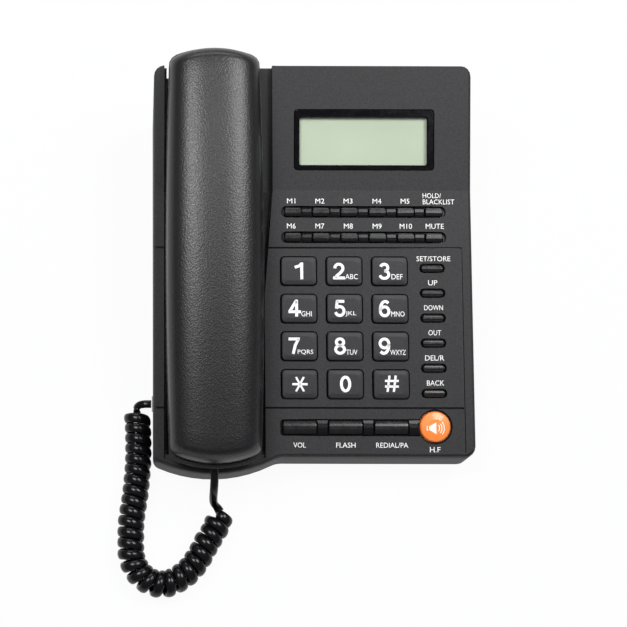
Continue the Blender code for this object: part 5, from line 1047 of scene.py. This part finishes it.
class TELEPHONE_OT_set_studio(bpy.types.Operator):
    """Lay the floor and set lamps and camera"""
    bl_idname = "telephone.set_studio"
    bl_label = "Set studio"

    def execute(self, context):
        studio = context.scene.telephone_studio
        scene = context.scene
        scene.view_settings.view_transform = "Standard"
        self.lay_floor()
        self.light_sky(scene, studio.sky)
        aim = FACE @ Vector((0, FACE_MIDDLE_V, 0))
        self.hang_lamp("key_lamp", aim, studio.key_power)
        self.hang_lamp("fill_lamp", aim, studio.fill_power)
        self.hang_lamp("rear_lamp", aim, studio.rear_power)
        self.mount_camera(scene, studio, aim)
        return {"FINISHED"}

    def mount_camera(self, scene, studio, aim):
        """Set the camera to one side of the telephone, on a mount that leans its view back to it."""
        lean = studio.aside / studio.distance
        lens = bpy.data.cameras.new("camera")
        lens.sensor_width = SENSOR_WIDTH
        lens.lens = SENSOR_WIDTH * FOCAL_SHARE * sqrt(1 + lean ** 2)
        lens.clip_start = 0.01
        camera = bpy.data.objects.new("camera", lens)
        scene.collection.objects.link(camera)
        mount = bpy.data.objects.new("camera_mount", None)
        scene.collection.objects.link(mount)
        back = Vector((0, -cos(studio.tilt), sin(studio.tilt)))
        turn = back.to_track_quat("Z", "Y").to_matrix() @ Matrix.Rotation(CAMERA_ROLL, 3, "Z")
        aside = Matrix.Identity(3)
        aside[0][2] = lean
        eye = aim + back * studio.distance + turn.col[0] * studio.aside
        camera.parent = mount
        camera.matrix_parent_inverse = Matrix.Translation(eye) @ (turn @ aside).to_4x4()
        scene.camera = camera

    def lay_floor(self):
        """Pale floor that reads as white and keeps a soft shadow."""
        mesh = bpy.data.meshes.new("floor")
        corners = [(x * FLOOR_HALF, y * FLOOR_HALF, 0) for x, y in ((-1, -1), (1, -1), (1, 1), (-1, 1))]
        mesh.from_pydata(corners, [], [(0, 1, 2, 3)])
        floor = bpy.data.objects.new("floor", mesh)
        bpy.context.scene.collection.objects.link(floor)
        made, tree, shader = start_material("floor white", (0.86, 0.86, 0.86), 0.9)
        shader.inputs["Specular IOR Level"].default_value = 0.0
        glow = node(tree, "ShaderNodeEmission")
        glow.inputs["Color"].default_value = (0.985, 0.985, 0.99, 1.0)
        path = node(tree, "ShaderNodeLightPath")
        seen = path.outputs["Is Camera Ray"]
        for name in ("Is Glossy Ray", "Is Transmission Ray"):
            either = node(tree, "ShaderNodeMath", operation="MAXIMUM")
            tree.links.new(seen, either.inputs[0])
            tree.links.new(path.outputs[name], either.inputs[1])
            seen = either.outputs["Value"]
        share = node(tree, "ShaderNodeMath", operation="MULTIPLY")
        share.inputs[1].default_value = FLOOR_GLOW
        tree.links.new(seen, share.inputs[0])
        mix = node(tree, "ShaderNodeMixShader")
        tree.links.new(share.outputs["Value"], mix.inputs["Fac"])
        tree.links.new(shader.outputs["BSDF"], mix.inputs[1])
        tree.links.new(glow.outputs["Emission"], mix.inputs[2])
        tree.links.new(mix.outputs["Shader"], tree.nodes["Material Output"].inputs["Surface"])
        mesh.materials.append(made)

    def light_sky(self, scene, strength):
        """Even light from all round."""
        world = bpy.data.worlds.new("studio sky")
        world.use_nodes = True
        sky = world.node_tree.nodes["Background"]
        sky.inputs["Color"].default_value = (1.0, 1.0, 1.0, 1.0)
        sky.inputs["Strength"].default_value = strength
        scene.world = world

    def hang_lamp(self, name, aim, power):
        """Hang a soft box and point it at the telephone."""
        place, (width, height) = LAMPS[name]
        light = bpy.data.lights.new(name, "AREA")
        light.shape = "RECTANGLE"
        light.size = width
        light.size_y = height
        light.energy = power
        lamp = bpy.data.objects.new(name, light)
        bpy.context.scene.collection.objects.link(lamp)
        turn = (Vector(place) - aim).to_track_quat("Z", "Y")
        lamp.matrix_world = Matrix.Translation(place) @ turn.to_matrix().to_4x4()


class TELEPHONE_PT_dressing(bpy.types.Panel):
    """Lists the steps that dress the telephone"""
    bl_idname = "TELEPHONE_PT_dressing"
    bl_label = "Telephone dressing"
    bl_space_type = "VIEW_3D"
    bl_region_type = "UI"
    bl_category = "Telephone"

    def draw(self, context):
        scene = context.scene
        for group in (scene.telephone_finishes, scene.telephone_cord, scene.telephone_studio):
            box = self.layout.box()
            for name in group.bl_rna.properties.keys():
                if name not in ("rna_type", "name"):
                    box.prop(group, name)
        for step in STEPS:
            self.layout.operator(step.bl_idname)


STEPS = (
    TELEPHONE_OT_dress_housing, TELEPHONE_OT_dress_keys, TELEPHONE_OT_dress_display,
    TELEPHONE_OT_dress_handset, TELEPHONE_OT_letter_keys, TELEPHONE_OT_letter_face,
    TELEPHONE_OT_draw_icon, TELEPHONE_OT_wind_cord, TELEPHONE_OT_fit_screws,
    TELEPHONE_OT_set_studio,
)
GROUPS = (TELEPHONE_PG_finishes, TELEPHONE_PG_cord, TELEPHONE_PG_studio)


def register():
    """Register the settings, the steps and the panel."""
    for kind in GROUPS + STEPS + (TELEPHONE_PT_dressing,):
        bpy.utils.register_class(kind)
    bpy.types.Scene.telephone_finishes = PointerProperty(type=TELEPHONE_PG_finishes)
    bpy.types.Scene.telephone_cord = PointerProperty(type=TELEPHONE_PG_cord)
    bpy.types.Scene.telephone_studio = PointerProperty(type=TELEPHONE_PG_studio)


def unregister():
    """Remove the settings, the steps and the panel."""
    del bpy.types.Scene.telephone_studio
    del bpy.types.Scene.telephone_cord
    del bpy.types.Scene.telephone_finishes
    for kind in reversed(GROUPS + STEPS + (TELEPHONE_PT_dressing,)):
        bpy.utils.unregister_class(kind)


def main():
    """Dress the telephone step by step."""
    register()
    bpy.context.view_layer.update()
    bpy.ops.telephone.dress_housing()
    bpy.ops.telephone.dress_keys()
    bpy.ops.telephone.dress_display()
    bpy.ops.telephone.dress_handset()
    bpy.ops.telephone.letter_keys()
    bpy.ops.telephone.letter_face()
    bpy.ops.telephone.draw_icon()
    bpy.ops.telephone.wind_cord()
    bpy.ops.telephone.fit_screws()
    bpy.ops.telephone.set_studio()


if __name__ == "__main__":
    main()
